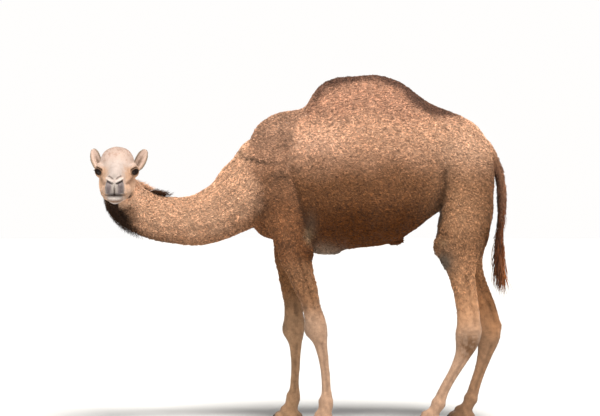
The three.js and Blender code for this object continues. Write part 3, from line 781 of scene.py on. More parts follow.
def sculpt_head(co, n):
    """co and n are in the head's axes."""
    move = 0.8 * wobble(co, 60, 3)
    muzzle, nose = ramp(co[:, 0], *MUZZLE), ramp(co[:, 0], *NOSE_FROM)
    groove, roll = mouth_line(co)
    move -= 9 * groove
    move += 3 * roll
    for side in (-1, 1):
        q = co * (1, side, 1)
        move -= 15 * muzzle * front_path(q, NOSTRIL, 4.2)
        move += 5 * muzzle * front_path(q, NOSTRIL_WING, 5.0)
        move -= 5 * nose * front_path(q, NOSE_CREASE, 4.5)
        move -= 3 * muzzle * front_path(q, [(17, -40), (19, -66), (15, -90)], 4)
        move += 4 * near_path(q, [(30, 88, -34), (80, 72, -40), (130, 60, -50)], 11)  # crest of the cheekbone
        move -= 5 * near(q, (134, 66, -78), (46, 30, 22))
        move -= 9 * near(q, (-62, 80, 38), (30, 26, 18))  # hollow above the eye
        move -= 3 * near_path(q, [(-104, 92, -90), (-60, 108, -120), (0, 98, -138)], 12)
        e, b = lid_place(co, side)
        move += 3.4 * np.exp(-(((e - 1.2) / 0.13) ** 2)) * np.where(b > 0, 1.0, 0.7)
        move -= np.where(b > 0, 4.0, 2.2) * np.exp(-(((e - 1.62) / 0.16) ** 2))
        move += 3.0 * np.exp(-(((e - 2.05) / 0.22) ** 2)) * (b > 0)
    move -= 8 * muzzle * front_path(co, [(0, -66), (0, -106)], 4.6)  # cleft of the upper lip
    move -= 2.5 * near_path(co, [(20, 0, 92), (90, 0, 56), (150, 0, 36)], 16)
    co = co + n * move[:, None]
    for side in (-1, 1):
        centre, *_ = eye_axes(side)
        e, _ = lid_place(co, side)
        inside = np.clip((1.07 - e) / 0.14, 0, 1)[:, None]
        ball = centre + unit(co - centre) * (EYE_RADIUS - 5)
        co = co + inside * (ball - co)
    return co


CHIN = [  # lower lip, and the floor of the jaw: place, half sizes, lean
    ((256, 0, -128), (50, 40, 24), -0.06), ((206, 0, -130), (66, 46, 36), -0.06),
    ((150, 0, -130), (92, 74, 30), -0.1),
]


def head_neck_depth(station):
    """The head's neck dips under the body's at its lower end."""
    return WOOL_DEPTH - 3 + 9 * np.clip((8.0 - station) / 0.4, 0, 1)


def head_skin():
    forms = [head_form(), neck_form(7.5, 10, head_neck_depth)]
    for side in (-1, 1):
        forms += [egg(at, size, turn, HEAD) for at, size, turn in head_bulges(side)]
    forms += [egg(at, size, (0, lean, 0), HEAD) for at, size, lean in CHIN]
    obj = fused("head_skin", forms, HEAD_VOXEL)
    edges = edges_of(obj)
    co = smooth(coords(obj), edges, 12, 0.5)
    set_coords(obj, co)
    turn = np.array(HEAD.to_3x3())
    co = sculpt_head(unplace(co, HEAD), normals(obj) @ turn)
    set_coords(obj, smooth(place(co, HEAD), edges, 1, 0.3))
    return obj


# ---------------------------------------------------------------- markings

def srgb(r, g, b):
    c = np.array((r, g, b)) / 255
    return np.where(c < 0.04045, c / 12.92, ((c + 0.055) / 1.055) ** 2.4)


SAND = srgb(216, 169, 137)
HUMP = srgb(198, 150, 122)
NECK_SAND = srgb(214, 170, 138)
NECK_PALE_AND_PAINTED_LIGHT = srgb(238, 196, 164)
RIB_HIGHLIGHT = srgb(236, 190, 160)
LOW_FLANK_AND_SHADE = srgb(120, 77, 43)
BELLY_AND_SHADE = srgb(98, 54, 16)
CREST = srgb(100, 70, 57)
SHOULDER = srgb(207, 162, 133)
CHEST = srgb(148, 100, 66)
RUMP = srgb(224, 181, 150)
THIGH = srgb(200, 152, 114)
HIND = srgb(197, 147, 108)
FOREARM = srgb(157, 113, 79)
SHANK = srgb(163, 131, 107)
PAD = srgb(112, 94, 79)
BUMP = srgb(186, 152, 116)
LOW_NECK = srgb(186, 138, 104)
THROAT = srgb(50, 31, 19)
FACE = srgb(184, 168, 159)
FOREHEAD = srgb(182, 159, 146)
CHEEK = srgb(192, 154, 126)
NOSE = srgb(164, 153, 145)
LEATHER = srgb(102, 90, 92)
DARK = srgb(44, 32, 26)
TAIL_TONE = srgb(120, 84, 63)
TUFT_TONE = srgb(102, 58, 32)
TUFT_END = srgb(158, 98, 60)
EAR_RIM = srgb(142, 124, 106)
EAR_INSIDE = srgb(208, 180, 164)
LIP = srgb(226, 214, 206)
TEAR_AND_SHADE = srgb(146, 106, 76)

NECK_STEPS = np.linspace(0, 10, 101)
NECK_LINE = [np.array(row) for row in zip(*(neck_frame(s) for s in NECK_STEPS))]


def neck_place(co):
    """Each point's nearest station of the neck, its angle from the nape in half turns, and its row."""
    centres, _, napes, sides = NECK_LINE
    gap = ((co[:, None, :].astype(np.float32) - centres[None].astype(np.float32)) ** 2).sum(2)
    i = gap.argmin(1)
    rel = co - centres[i]
    up = (rel * napes[i]).sum(1)
    across = (rel * sides[i]).sum(1)
    return NECK_STEPS[i], np.arctan2(across, up) / np.pi, i


class Tones:
    """A colour for each point, laid on in layers."""

    def __init__(self, colour, count):
        self.colour = np.tile(colour, (count, 1))

    def lay(self, target, amount):
        """Moves each colour towards the target by its own amount."""
        self.colour = toward(self.colour, target, amount)

    def shade(self, share, amount):
        """The same towards that share of the colour itself."""
        self.lay(self.colour * share, amount)


SHOULDER_EDGE = ((52, 14, -30, -70, -60, 48), (1110, 1240, 1382, 1512, 1690, 1872))  # x, and z
DARK_CURLS = [  # patches of darker wool on the shoulder and chest, in side view: place and half sizes
    (-125, 1450, 56, 36), (-225, 1275, 70, 76), (-70, 1058, 34, 30),
]
CREST_BAND = ((60, 200, 330, 460, 620, 800, 950), (125, 95, 66, 66, 125, 95, 50))  # x, and its depth


def trunk_marks(tones, co, patchy):
    """Sandy shoulder, ribs and rump between a dark crest and a dark belly; the lower flank and belly are
    darkened partly by painted shade, the upper ribs carry a painted highlight, and the paler upper rump is
    partly one.
    """
    x, _, z = co.T
    lay = tones.lay
    lay(HUMP, ramp(z + 30 * patchy, 1700, 1860))
    trunk = ramp(x, -420, -250)
    before_ribs = ramp(x - np.interp(z, SHOULDER_EDGE[1], SHOULDER_EDGE[0]) + 20 * patchy, 36, -30)
    # a painted highlight on the upper ribs, where the light falls
    lay(RIB_HIGHLIGHT, near_spot(co, 90, 1640, 210, 130) * 0.9)
    upper = (1.12 - 0.38 * ramp(z, 1480, 1680))[:, None]
    lay(SHOULDER * upper, trunk * before_ribs * ramp(z, 1080, 1200) * 0.95)
    # the lower flank and belly darken downwards, partly in colour and partly as painted shade of the
    # underside
    level = z - 0.12 * np.maximum(x - 425, 0) + 25 * patchy
    lay(LOW_FLANK_AND_SHADE, trunk * ramp(level, 1730, 1380) * (0.95 - 0.13 * before_ribs))
    lay(BELLY_AND_SHADE, trunk * ramp(level, 1400, 1140))
    lay(CHEST, ramp(x, 60, -60) * ramp(level, 1400, 1200) * 0.9)
    for spot in DARK_CURLS:
        tones.shade(0.4, near_spot(co, *spot) * (0.85 + 0.4 * wobble(co, 30, 18)))
    # a paler patch on the upper rump, partly a painted highlight
    lay(RUMP, near_spot(co, 960, 1640, 230, 190) * 0.9)
    lay(THIGH, near_spot(co, 930, 1240, 190, 250) * 0.85)
    depth_below = back_line(np.clip(x, 40, 900)) - z
    band = np.interp(x, *CREST_BAND)
    crest = trunk * ramp(depth_below + 18 * patchy, band, band * 0.45) * ramp(x, 20, 110) * ramp(x, 1000, 860)
    lay(CREST, crest * 0.92)


def leg_marks(tones, co, n, patchy):
    """Browner legs that pale to the shanks, with painted shade on their inner sides and in the grooves
    between the tendons, darker on the folds of the knees and hocks, and blotched at the hocks.
    """
    x, y, z = co.T
    front = x < MIDWAY_X
    leg = np.where(front, ramp(z, 1010, 900), ramp(z, 1120, 900) * ramp(x, 720, 800))
    tones.lay(np.where(front[:, None], FOREARM, HIND), leg)
    tones.lay(SHANK, ramp(z + 30 * patchy, 800, 600) * front)
    tones.lay(SHANK, ramp(z + 40 * patchy, 740, 480) * ~front)
    tones.lay(SHANK * 0.8, ramp(z, 110, 50))
    # painted shade on the inner sides of the legs, which face each other under the body
    inner_side_shade = ramp(n[:, 1] * np.sign(y), 0.3, -0.5) * ramp(z, 1000, 850) * (np.abs(y) > 60)
    tones.shade(np.where(front[:, None], (0.92, 0.87, 0.75), (0.72, 0.64, 0.54)), inner_side_shade)
    groove, _ = leg_grooves(co)
    knee, folds = knee_folds(co)
    # painted shade in the grooves between the tendons; the folds of the knees and hocks are darker too
    tones.shade(0.55, groove * 0.55 + np.clip(folds, 0, 1) * knee * 0.9)
    blotch = wobble(co, 40, 15) + 0.7 * wobble(co, 16, 16)
    hock = near_spot(co, 985, 460, 74, 84) * ramp(x, 890, 950)
    tones.lay(FOREARM * 0.45, hock * 1.5 * ramp(blotch, -0.9, 0.3))
    tones.colour = tones.colour * (1 + 0.16 * blotch * ramp(z, 1000, 800))[:, None]


def calluses(co):
    """How near each point is to the dark bare pads, and to the pale bumps beside them."""
    pads, bumps = np.zeros(len(co)), np.zeros(len(co))
    for name, (outward, _, joints) in LEGS.items():
        same = co[:, 1] * outward > 20
        (top_x, top_z), (x, z), y = joints[2], joints[3], outward * KNEE_OUT
        if kind_of(name) == "front":
            elbow = (top_x + 84, outward * 154, top_z + 58)
            bumps = np.maximum(bumps, near(co, elbow, (30, 60, 44)) * same)
            pads = np.maximum(pads, near(co, (x - 52, y, z), (34, 44, 56)) * 0.6)
        else:
            stifle = np.array((top_x - 30, outward * 150, top_z - 70))
            pads = np.maximum(pads, near(co, stifle, (66, 90, 88)) * 1.5 * same)
            bumps = np.maximum(bumps, near(co, stifle + (-14, 0, 104), (34, 80, 26)) * same)
            pads = np.maximum(pads, near(co, (x - 30, y, z - 30), (70, 60, 60)) * 0.3)
    pads = np.clip(np.maximum(pads, near(co, (150, 0, 1010), (150, 120, 66)) * 1.3), 0, 1)
    pits = near(co, (60, -196, 1160), (46, 70, 110)) + near(co, (60, 196, 1160), (46, 70, 110))
    return np.maximum(pads, pits * 0.7), bumps


def fold_marks(tones, co):
    """Shadow in the folds before the thigh and behind the shoulder."""
    z = co[:, 2]
    tones.shade(0.3, near_side_line(co, THIGH_FOLD, 10) * (z > 1100) * ramp(z, 1540, 1450))
    tones.shade(0.5, near_spot(co, 806, 1270, 36, 120) * 0.8)
    tones.shade(0.5, near_side_line(co, SHOULDER_FOLD, 10) * ramp(z, 1430, 1330) * 0.8)
    tones.shade(0.85, near_side_line(co, HIP_FOLD, 40) * 0.7)
    tones.shade(0.72, near_side_line(co, SHOULDER_FOLD, 18) * 0.7)


def body_marks(co, n):
    """The body's tones, and how bare each point is."""
    patchy = wobble(co, 260, 11)
    tones = Tones(SAND, len(co))
    trunk_marks(tones, co, patchy)
    leg_marks(tones, co, n, patchy)
    pads, bumps = calluses(co)
    tones.lay(PAD * 0.75, pads)
    tones.lay(BUMP, bumps * 0.8)
    # a pale breast callus, partly its own pale grey and partly painted light on its shaded underside
    tones.lay(PAD * 2.6, near(co, (135, 0, 1045), (90, 130, 66)))
    fold_marks(tones, co)
    x, y, z = co.T
    tail = (x > 1132) & (np.abs(y) < 48) & (z > 740)
    # painted light: the tail is lighter on the side that faces back and darker on the side that faces forward
    lit = 1 + 0.55 * n[:, :1] + 0.15 * wobble(co, 40, 19)[:, None]
    tones.lay(TAIL_TONE * lit, tail * ramp(z, 1620, 1480))
    return tones, pads * 0.8


def scars(station, angle, count=44):
    """How near each point is to short dark scars, laid at random along the neck's left side."""
    local = np.random.default_rng(5)
    best = np.zeros(len(station))
    for _ in range(count):
        s, turn = local.uniform(2.2, 7.6), local.uniform(0.15, 0.85)
        best = np.maximum(best, np.exp(-((station - s) / 0.06) ** 2 - ((angle + turn) / 0.018) ** 2))
    return best


def neck_marks(tones, co):
    """Sand that pales to the head, partly as painted light where the head shades the neck, over a dark throat
    and under a dark line of the nape.
    """
    x, _, z = co.T
    station, angle, _ = neck_place(co)
    turned = np.abs(angle)
    neck = Tones(NECK_SAND, len(co))
    lay = neck.lay
    lay(NECK_PALE_AND_PAINTED_LIGHT, ramp(station, 7.0, 8.2))
    lay(LOW_NECK, ramp(turned + 0.05 * wobble(co, 120, 12), 0.62, 0.98) * ramp(z, 1400, 1300))
    low = ramp(z, 1335, 1275)
    lay(LOW_NECK * 0.6, low * ramp(turned, 0.42, 0.62) * ramp(station, 6.6, 7.4) * 0.8)
    lay(THROAT * 1.5, low * ramp(turned, 0.78, 1.0) * ramp(station, 3.5, 6) * 0.8)
    lay(THROAT, low * ramp(station, 6.5, 7.4) * ramp(turned, 0.66, 0.8))
    lay(THROAT * 2.2, ramp(turned, 0.1, 0.03) * ramp(station, 4.8, 5.8) * ramp(station, 7.6, 6.9) * 0.6)
    lay(THROAT * 1.6, scars(station, angle) * 0.85)
    edge = -250 + 60 * ramp(z, 1500, 1400) * ramp(z, 1180, 1280)
    mottled = neck.colour * (1 + 0.12 * wobble(co, 46, 17))[:, None]
    tones.lay(mottled, ramp(x, edge, edge - 110) * (z > 850))


def eye_marks(lay, q):
    """A pale brow, a brown run below the eye with painted shade in the fold over the upper lid, and dark
    lids; q has the eye at +Y.
    """
    lay(FACE * 1.05, near(q, (40, 78, 36), (34, 26, 14)) * 0.8)
    runs = 0.65 + 0.35 * wobble(q * (0.4, 2, 0.5), 22, 23)
    lay(TEAR_AND_SHADE, near(q, (44, 80, -44), (40, 32, 26)) * 1.1 * runs)
    e, high = lid_place(q, 1)
    lay(TEAR_AND_SHADE * 0.6, np.exp(-((np.maximum(e - 1.1, 0) / 0.5) ** 2)) * 0.6)
    # painted shade in the fold between the brow and the upper lid
    lay(TEAR_AND_SHADE * 0.4, np.exp(-(((e - 1.6) / 0.2) ** 2)) * ramp(high, 4, 14) * 0.8)
    lay(DARK, np.exp(-((np.maximum(e - 1.08, 0) / np.where(high > 0, 0.25, 0.22)) ** 2)))


def nose_marks(lay, q, muzzle, nose):
    """One side of the nose and lips; returns how much of the bare leather between them is there."""
    x, y, z = q.T
    out = np.abs(y)
    streaks = wobble(q * (1, 2.4, 0.5), 24, 21)
    leather = ramp(x, 248, 276) * ramp(out + 2 * streaks, 56, 42) * ramp(z, -108, -96)
    leather *= ramp(z - 0.3 * out, -28, -42)
    lay(NOSE, leather)
    lay(LEATHER, leather * ramp(out + 2 * streaks, 12, 24) * (0.8 + 0.2 * streaks))
    lay(LEATHER * 0.5, leather * near(q, (300, 34, -56), (60, 16, 14)) * 0.7)
    lay(NOSE, leather * near(q, (300, 38, -98), (60, 18, 6)) * 0.8)
    # painted shade in the nostril slits
    lay(DARK * 1.1, muzzle * front_path(q, NOSTRIL, 4.6) * 0.9)
    lay(LIP, muzzle * front_path(q, NOSTRIL_WING, 5) * 0.55)
    # painted shade in the crease over the nostrils
    lay(DARK * 1.9, nose * front_path(q, NOSE_CREASE, 4.0) * 0.8)
    lay(LIP, near(q, (296, 14, -120), (46, 34, 10)) * 1.1)
    # a dark chin under the lower lip: short dark hair, and partly painted shade
    lay(TEAR_AND_SHADE * 0.75, near(q, (266, 12, -142), (60, 44, 12)) * 1.1)
    return leather


def head_marks(tones, co):
    """Lays the face's markings over the others, and tells how bare each point is."""
    p = unplace(co, HEAD)
    x, y, z = p.T
    face = Tones(FACE, len(co))
    lay = face.lay
    mottled = wobble(p, 34, 22)
    blotch = mottled + 0.8 * wobble(p, 13, 24)
    lay(FOREHEAD, ramp(x, 90, 10) * ramp(z, 0, 60))
    lay(CHEEK, ramp(np.abs(y) + 8 * mottled, 26, 66) * ramp(z, 60, 0))
    lay(FOREHEAD * (0.78, 0.7, 0.66), ramp(blotch, 0.0, 1.0) * ramp(x, 60, 0) * ramp(z, 20, 70) * 0.7)
    face.shade((0.86, 0.8, 0.78), ramp(blotch, 0.2, 1.2) * ramp(x, 230, 150) * 0.6)
    lay(NECK_SAND * 0.84, ramp(x, 90, -10) * ramp(z, -10, -50) * 0.95)
    # painted light: the underside of the cheeks and the neck behind the head are laid pale to lift the shade
    # that the head casts on them
    lay(NECK_PALE_AND_PAINTED_LIGHT * 1.1, ramp(x, 60, -20) * ramp(z, -20, -80) * 0.9)
    lay(NECK_PALE_AND_PAINTED_LIGHT * 1.12, ramp(x, -70, -130) * 0.9)
    lay(THROAT * 1.2, ramp(z + 0.1 * x, -112, -140) * ramp(x, 170, 60) * ramp(x, -50, 10))
    muzzle, nose = ramp(x, *MUZZLE), ramp(x, *NOSE_FROM)
    bare = np.zeros(len(co))
    for side in (-1, 1):
        q = p * (1, side, 1)
        eye_marks(lay, q)
        bare = np.maximum(bare, nose_marks(lay, q, muzzle, nose))
    lay(NOSE * 0.85, nose * near(p * (0, 1, 1), (0, 0, -2), (9, 16, 14)) * 0.7)
    lay(LEATHER * 0.45, muzzle * near(p * (0, 1, 1), (0, 0, -98), (9, 30, 12)) * 0.9)
    # painted shade in the cleft of the upper lip and in the slit of the mouth
    lay(DARK * 1.3, muzzle * front_path(p, [(0, -76), (0, -106)], 5.0) * 0.85)
    lay(DARK * 2.2, muzzle * front_path(p, [(0, -50), (0, -80)], 2.6) * 0.6)
    lay(DARK * 1.2, mouth_line(p)[0] * ramp(x, 215, 262) * 0.95)
    on_head = ramp(x, -150, -95) * ramp(z, -225, -185) * (np.linalg.norm(p, axis=1) < 420)
    tones.lay(face.colour, on_head)
    return bare * on_head


MANE_LINE = [(-376, 1606), (-330, 1564), (-254, 1540), (-170, 1526)]  # where the neck's wool ends


def marks(co, n):
    """The colour of skin and coat at each point, and how bare it is."""
    tones, bare = body_marks(co, n)
    neck_marks(tones, co)
    # painted shade in the fold where the neck's wool ends
    fold = near_side_line(co, MANE_LINE, 12) * (0.85 + 0.4 * wobble(co, 36, 20))
    tones.shade(0.32, fold * ramp(co[:, 0], -130, -230))
    leather = head_marks(tones, co)
    return tones.colour * (1 + 0.06 * wobble(co, 90, 14))[:, None], np.maximum(bare, leather)


def ear_marks(side, co):
    p = unplace(co, ear_matrix(side))
    t = p[:, 2] / EAR_LENGTH
    edge = np.abs(p[:, 1]) / np.maximum(ear_half(np.clip(t, 0, 1)), 4)
    tones = Tones(EAR_INSIDE, len(co))
    tones.lay(EAR_RIM, ramp(edge, 0.55, 0.95))
    streaks = wobble(p * (1, 2.2, 0.6), 12, 41)
    tones.lay(EAR_RIM * (0.5, 0.42, 0.38), ramp(edge + 0.2 * streaks, 0.6, 0.0) * ramp(t, 0.85, 0.35) * 0.85)
    tones.lay(EAR_RIM * 1.1, ramp(p[:, 0] - (1 - np.cos(edge)) * 20, -10, -14))  # its back
    return tones.colour


def paint(obj, colour, bare):
    rgba = np.concatenate([colour, np.ones((len(colour), 1))], 1)
    mark = obj.data.attributes.new("mark", "FLOAT_COLOR", "POINT")
    mark.data.foreach_set("color", rgba.astype(np.float32).ravel())
    patch = obj.data.attributes.new("bare", "FLOAT", "POINT")
    patch.data.foreach_set("value", np.asarray(bare, np.float32))


# ---------------------------------------------------------------- the coat

LAYOUT = {  # where each part's unwrap lies in the OFBake map: corner and size
    "torso": (0.0, 0.5, 0.6, 0.5), "neck": (0.6, 0.5, 0.4, 0.5), "head": (0.0, 0.0, 0.3, 0.5),
    "front_left": (0.3, 0.0, 0.12, 0.5), "front_right": (0.42, 0.0, 0.12, 0.5),
    "hind_left": (0.54, 0.0, 0.12, 0.5), "hind_right": (0.66, 0.0, 0.12, 0.5),
    "tail": (0.78, 0.0, 0.08, 0.5), "ear_left": (0.86, 0.0, 0.07, 0.5), "ear_right": (0.93, 0.0, 0.07, 0.5),
}


def turn_of(a, b):
    return (np.arctan2(a, b) / (2 * np.pi) + 0.5) % 1


def unwrap(part, co):
    """Each root's place in the map, unrolled round the part's own length."""
    x, y, z = co.T
    if part == "torso":
        u, v = (x + 450) / 1650, turn_of(y, flank_level(x) - z)
    elif part == "neck":
        station, angle, _ = neck_place(co)
        u, v = station / 10, (angle + 1) / 2
    elif part == "head":
        p = unplace(co, HEAD)
        u, v = (p[:, 0] + 200) / 540, turn_of(p[:, 1], -60 - p[:, 2])
    elif part.startswith("ear"):
        p = unplace(co, ear_matrix(1 if part == "ear_left" else -1))
        u, v = p[:, 1] / 90 + 0.5, p[:, 2] / 160
    elif part == "tail":
        u, v = turn_of(x - 1180, y), (z - 700) / 1000
    else:
        outward, _, joints = LEGS[part]
        places, heights = zip(*joints[::-1])
        u, v = turn_of(x - np.interp(z, heights, places), y - outward * 130), z / 1750
    left, low, wide, high = LAYOUT[part]
    across, up = (0.02 + 0.96 * np.clip(share, 0, 1) for share in (u, v))
    return np.stack([left + wide * across, low + high * up], 1)


class Coat:
    """Gathers tufts, and makes them into pieces of joined mesh."""

    def __init__(self, name):
        self.name = name
        self.batches = {}

    def add(
        self, part, root, normal, reach, rise, width, colour, rings=2, flat=0.45, sink=2.0, dark=0.62, bend=0
    ):
        """One tuft on each root: it runs along reach, and its middle rises by rise and swings by bend."""
        count = len(root)
        rise = np.broadcast_to(rise, count)[:, None]
        width = np.broadcast_to(width, count)[:, None]
        side = unit(np.cross(reach, normal))
        start = root - normal * sink
        middle = root + reach * 0.42 + normal * rise * 1.6 + bend
        end = root + reach
        at = unwrap(part, root)
        # painted shade: each tuft is darker at its root by the share dark and grows lighter towards its tip
        points, tone, unrolled = [start], [colour * dark], [at - (0, 0.0015)]
        for k in range(1, rings + 1):
            t = k / (rings + 1)
            centre = start * (1 - t) ** 2 + middle * 2 * t * (1 - t) + end * t * t
            size = width * (1.5 * t * (1 - t) ** 0.6 + 0.5 * (1 - t))
            for turn in (0.25, 0.25 + 1 / 3, 0.25 + 2 / 3):
                c, s = math.cos(turn * 2 * math.pi), math.sin(turn * 2 * math.pi)
                points.append(centre + side * size * c + normal * size * s * flat)
                tone.append(colour * (dark + (1.06 - dark) * t**0.7))
                unrolled.append(at + (0.0015 * c, 0.003 * t - 0.0015))
        points.append(end)
        tone.append(colour * 1.08)
        unrolled.append(at + (0, 0.0015))
        batch = self.batches.setdefault(rings, ([], [], []))
        for kept, made in zip(batch, (points, tone, unrolled)):
            kept.append(np.stack(made, 1).astype(np.float32))

    def pieces(self, material):
        made = []
        for rings, batch in self.batches.items():
            points, tone, unrolled = (np.concatenate(b) for b in batch)
            corners = []
            tip = 3 * rings + 1
            for i in range(3):
                j = (i + 1) % 3
                corners.append((0, 1 + i, 1 + j))
                for k in range(1, 3 * rings - 2, 3):
                    corners.append((k + i, k + 3 + i, k + 3 + j, k + j))
                corners.append((tip - 3 + i, tip, tip - 3 + j))
            triangles = 6 * rings
            share = PIECE_LIMIT // triangles
            for start in range(0, len(points), share):
                part = slice(start, start + share)
                name = f"{self.name}_{len(made) + 1}"
                made.append(tuft_mesh(name, points[part], tone[part], unrolled[part], corners, material))
        return made


def tuft_mesh(name, points, tone, unrolled, corners, material):
    """One mesh of many tufts alike, whose faces are given by the corners of the first."""
    count, per = points.shape[:2]
    lengths = np.tile([len(c) for c in corners], count)
    loops = (np.concatenate(corners)[None] + (np.arange(count) * per)[:, None]).ravel()
    mesh = bpy.data.meshes.new(name)
    mesh.vertices.add(count * per)
    mesh.vertices.foreach_set("co", ((points.reshape(-1, 3) + SHIFT) * 0.001).astype(np.float32).ravel())
    mesh.loops.add(len(loops))
    mesh.loops.foreach_set("vertex_index", loops.astype(np.int32))
    mesh.polygons.add(len(lengths))
    mesh.polygons.foreach_set("loop_start", np.r_[0, np.cumsum(lengths)[:-1]].astype(np.int32))
    mesh.polygons.foreach_set("use_smooth", np.ones(len(lengths), bool))
    mesh.update(calc_edges=True)
    layer = mesh.uv_layers.new(name="OFBake")
    layer.data.foreach_set("uv", unrolled.reshape(-1, 2)[loops].ravel())
    mesh.materials.append(material)
    obj = add_object(name, mesh)
    paint(obj, tone.reshape(-1, 3), np.zeros(count * per))
    return obj


def faces_of(obj):
    """A place at random inside each face of a mesh, and the face's normal."""
    faces = obj.data.polygons
    centre = read(faces, "center", 3) * 1000 - SHIFT
    normal = read(faces, "normal", 3)
    a = unit(np.cross(normal, (0.31, 0.55, 0.77)))
    b = np.cross(normal, a)
    spread = rng.uniform(-0.5, 0.5, (2, len(faces), 1)) * (np.sqrt(read(faces, "area", 1)) * 1000)
    return centre + a * spread[0] + b * spread[1], normal


def tangent(v, n):
    return unit(v - n * (v * n).sum(1)[:, None])


def parts_of(co):
    """Which part of the unwrap each root of the body belongs to."""
    x, y, z = co.T
    names = np.full(len(co), "torso", object)
    names[x < -330] = "neck"
    low = (z < 1010) & (x > -260)
    for name, (outward, *_) in LEGS.items():
        names[low & (y * outward > 0) & ((x < MIDWAY_X) == (kind_of(name) == "front"))] = name
    names[(x > 1140) & (np.abs(y) < 70) & (z < 1640) & (z > 700)] = "tail"
    return names


def body_lie(co, n):
    """The way the hair lies: back along the trunk, down the legs, from the skull to the chest on the neck."""
    x, _, z = co.T
    lie = np.tile((1.0, 0, -0.35), (len(co), 1))
    lie = toward(lie, np.array((0.75, 0, 0.5)), ramp(z, 1760, 1900) * ramp(x, 60, 140) * ramp(x, 800, 700))
    lie = toward(lie, np.array((0.25, 0, -1.0)), ramp(z, 1380, 1060) * ((x < 260) | (x > 760)))
    lie = toward(lie, np.array((0, 0, -1.0)), (z < 980) | (x > 1130))
    _, _, i = neck_place(co)
    lie = toward(lie, -NECK_LINE[1][i] + (0, 0, -0.25), ramp(x, -180, -340) * (z > 850))
    return tangent(lie, n)


def curliness(co):
    """1 where the coat is curly wool, and 0 where it is short and flat."""
    on_tail = (co[:, 0] > 1140) & (co[:, 2] < 1600)
    return ramp(co[:, 2] + 40 * wobble(co, 60, 36), 540, 860) * (1 - 0.5 * on_tail)


def body_roots(body, rounds):
    """Places and normals for tufts, one on each face in each round, and none where the head's own neck is."""
    kept = []
    for _ in range(rounds):
        root, n = faces_of(body)
        station, _, _ = neck_place(root)
        under_head = (root[:, 0] < -900) & (station > 8.35)
        keep = (root[:, 2] > 20) & ~under_head
        kept.append((root[keep], n[keep]))
    return (np.concatenate(part) for part in zip(*kept))


def add_by_part(coat, root, arrays, **values):
    """Adds tufts whose arrays run like the roots, one part of the unwrap at a time."""
    parts = parts_of(root)
    for part in LAYOUT:
        on = parts == part
        if on.any():
            coat.add(part, root[on], **{key: value[on] for key, value in arrays.items()}, **values)


def wool_roots(body, rounds, share):
    """Places, normals and colours for the tufts of one layer of wool."""
    root, n = body_roots(body, rounds)
    keep = rng.uniform(size=len(root)) < share * curliness(root)
    root, n = root[keep], n[keep]
    colour, bare = marks(root, n)
    keep = rng.uniform(size=len(root)) > 0.9 * bare
    return root[keep], n[keep], colour[keep]


def wool_layer(body, coat, rounds, share, curled):
    """One layer of wool, which turns to either side of the lie; the curled one stands over the other."""
    root, n, colour = wool_roots(body, rounds, share)
    count = len(root)
    lie = body_lie(root, n)
    fine = 0.45 + 0.55 * ramp(root[:, 2], 560, 1000)
    turn = 0.7 * wobble(root, 70, 31) + (0.5 + 0.6 * curled) * wobble(root, 30, 32)
    turn += rng.normal(0, 0.35, count)
    way = lie * np.cos(turn)[:, None] + np.cross(n, lie) * np.sin(turn)[:, None]
    size = rng.uniform(17, 27, count) * fine
    swing = size * (0.3 * wobble(root, 36, 33) + rng.normal(0, 0.15, count)) * curled
    crest = 0.5 + 0.5 * np.clip(wobble(root, 34, 34) * 1.4, -1, 1)
    coarse = 1 + 0.9 * ramp(root[:, 2], 1600, 1800)
    # painted shade: the curled layer and the raised crests are lighter, the under layer and the low places
    # darker; the rest is random variation
    tint = 0.95 + 0.12 * curled + 0.2 * crest + 0.17 * coarse * wobble(root, 20, 35)
    tint += rng.normal(0, 0.2, count)
    tint += 0.26 * coarse * wobble(root, 9, 37)
    tint += (1.12 - tint) * 0.4 * ramp(root[:, 0], -350, -600)
    arrays = {
        "normal": n,
        "reach": way * size[:, None] + n * rng.uniform(-1.0, 2.5, (count, 1)),
        "rise": (1.4 + 2.4 * crest + 1.6 * curled) * fine,
        "width": rng.uniform(2.0, 2.9, count) * fine,
        "colour": colour * np.clip(tint, 0.45, 1.6)[:, None],
        "bend": np.cross(n, way) * swing[:, None],
    }
    add_by_part(coat, root, arrays, rings=1 + curled, flat=0.6, dark=0.7 + 0.1 * curled)


def sleek_coat(body, coat):
    """Short flat hair on the legs."""
    root, n = body_roots(body, 1)
    colour, bare = marks(root, n)
    chance = (1 - curliness(root)) * (1 - 0.9 * bare) * np.where(root[:, 2] > 120, 0.8, 0.5)
    keep = rng.uniform(size=len(root)) < chance
    root, n, colour = root[keep], n[keep], colour[keep]
    count = len(root)
    lie = body_lie(root, n)
    slant = np.cross(n, lie) * rng.normal(0, 1.2, (count, 1))
    arrays = {
        "normal": n,
        "reach": lie * rng.uniform(9, 15, (count, 1)) + slant,
        "rise": rng.uniform(0.3, 0.8, count),
        "width": rng.uniform(1.0, 1.7, count),
        "colour": colour * rng.normal(1.06, 0.09, (count, 1)),
    }
    add_by_part(coat, root, arrays, rings=1, flat=0.3, dark=0.97)


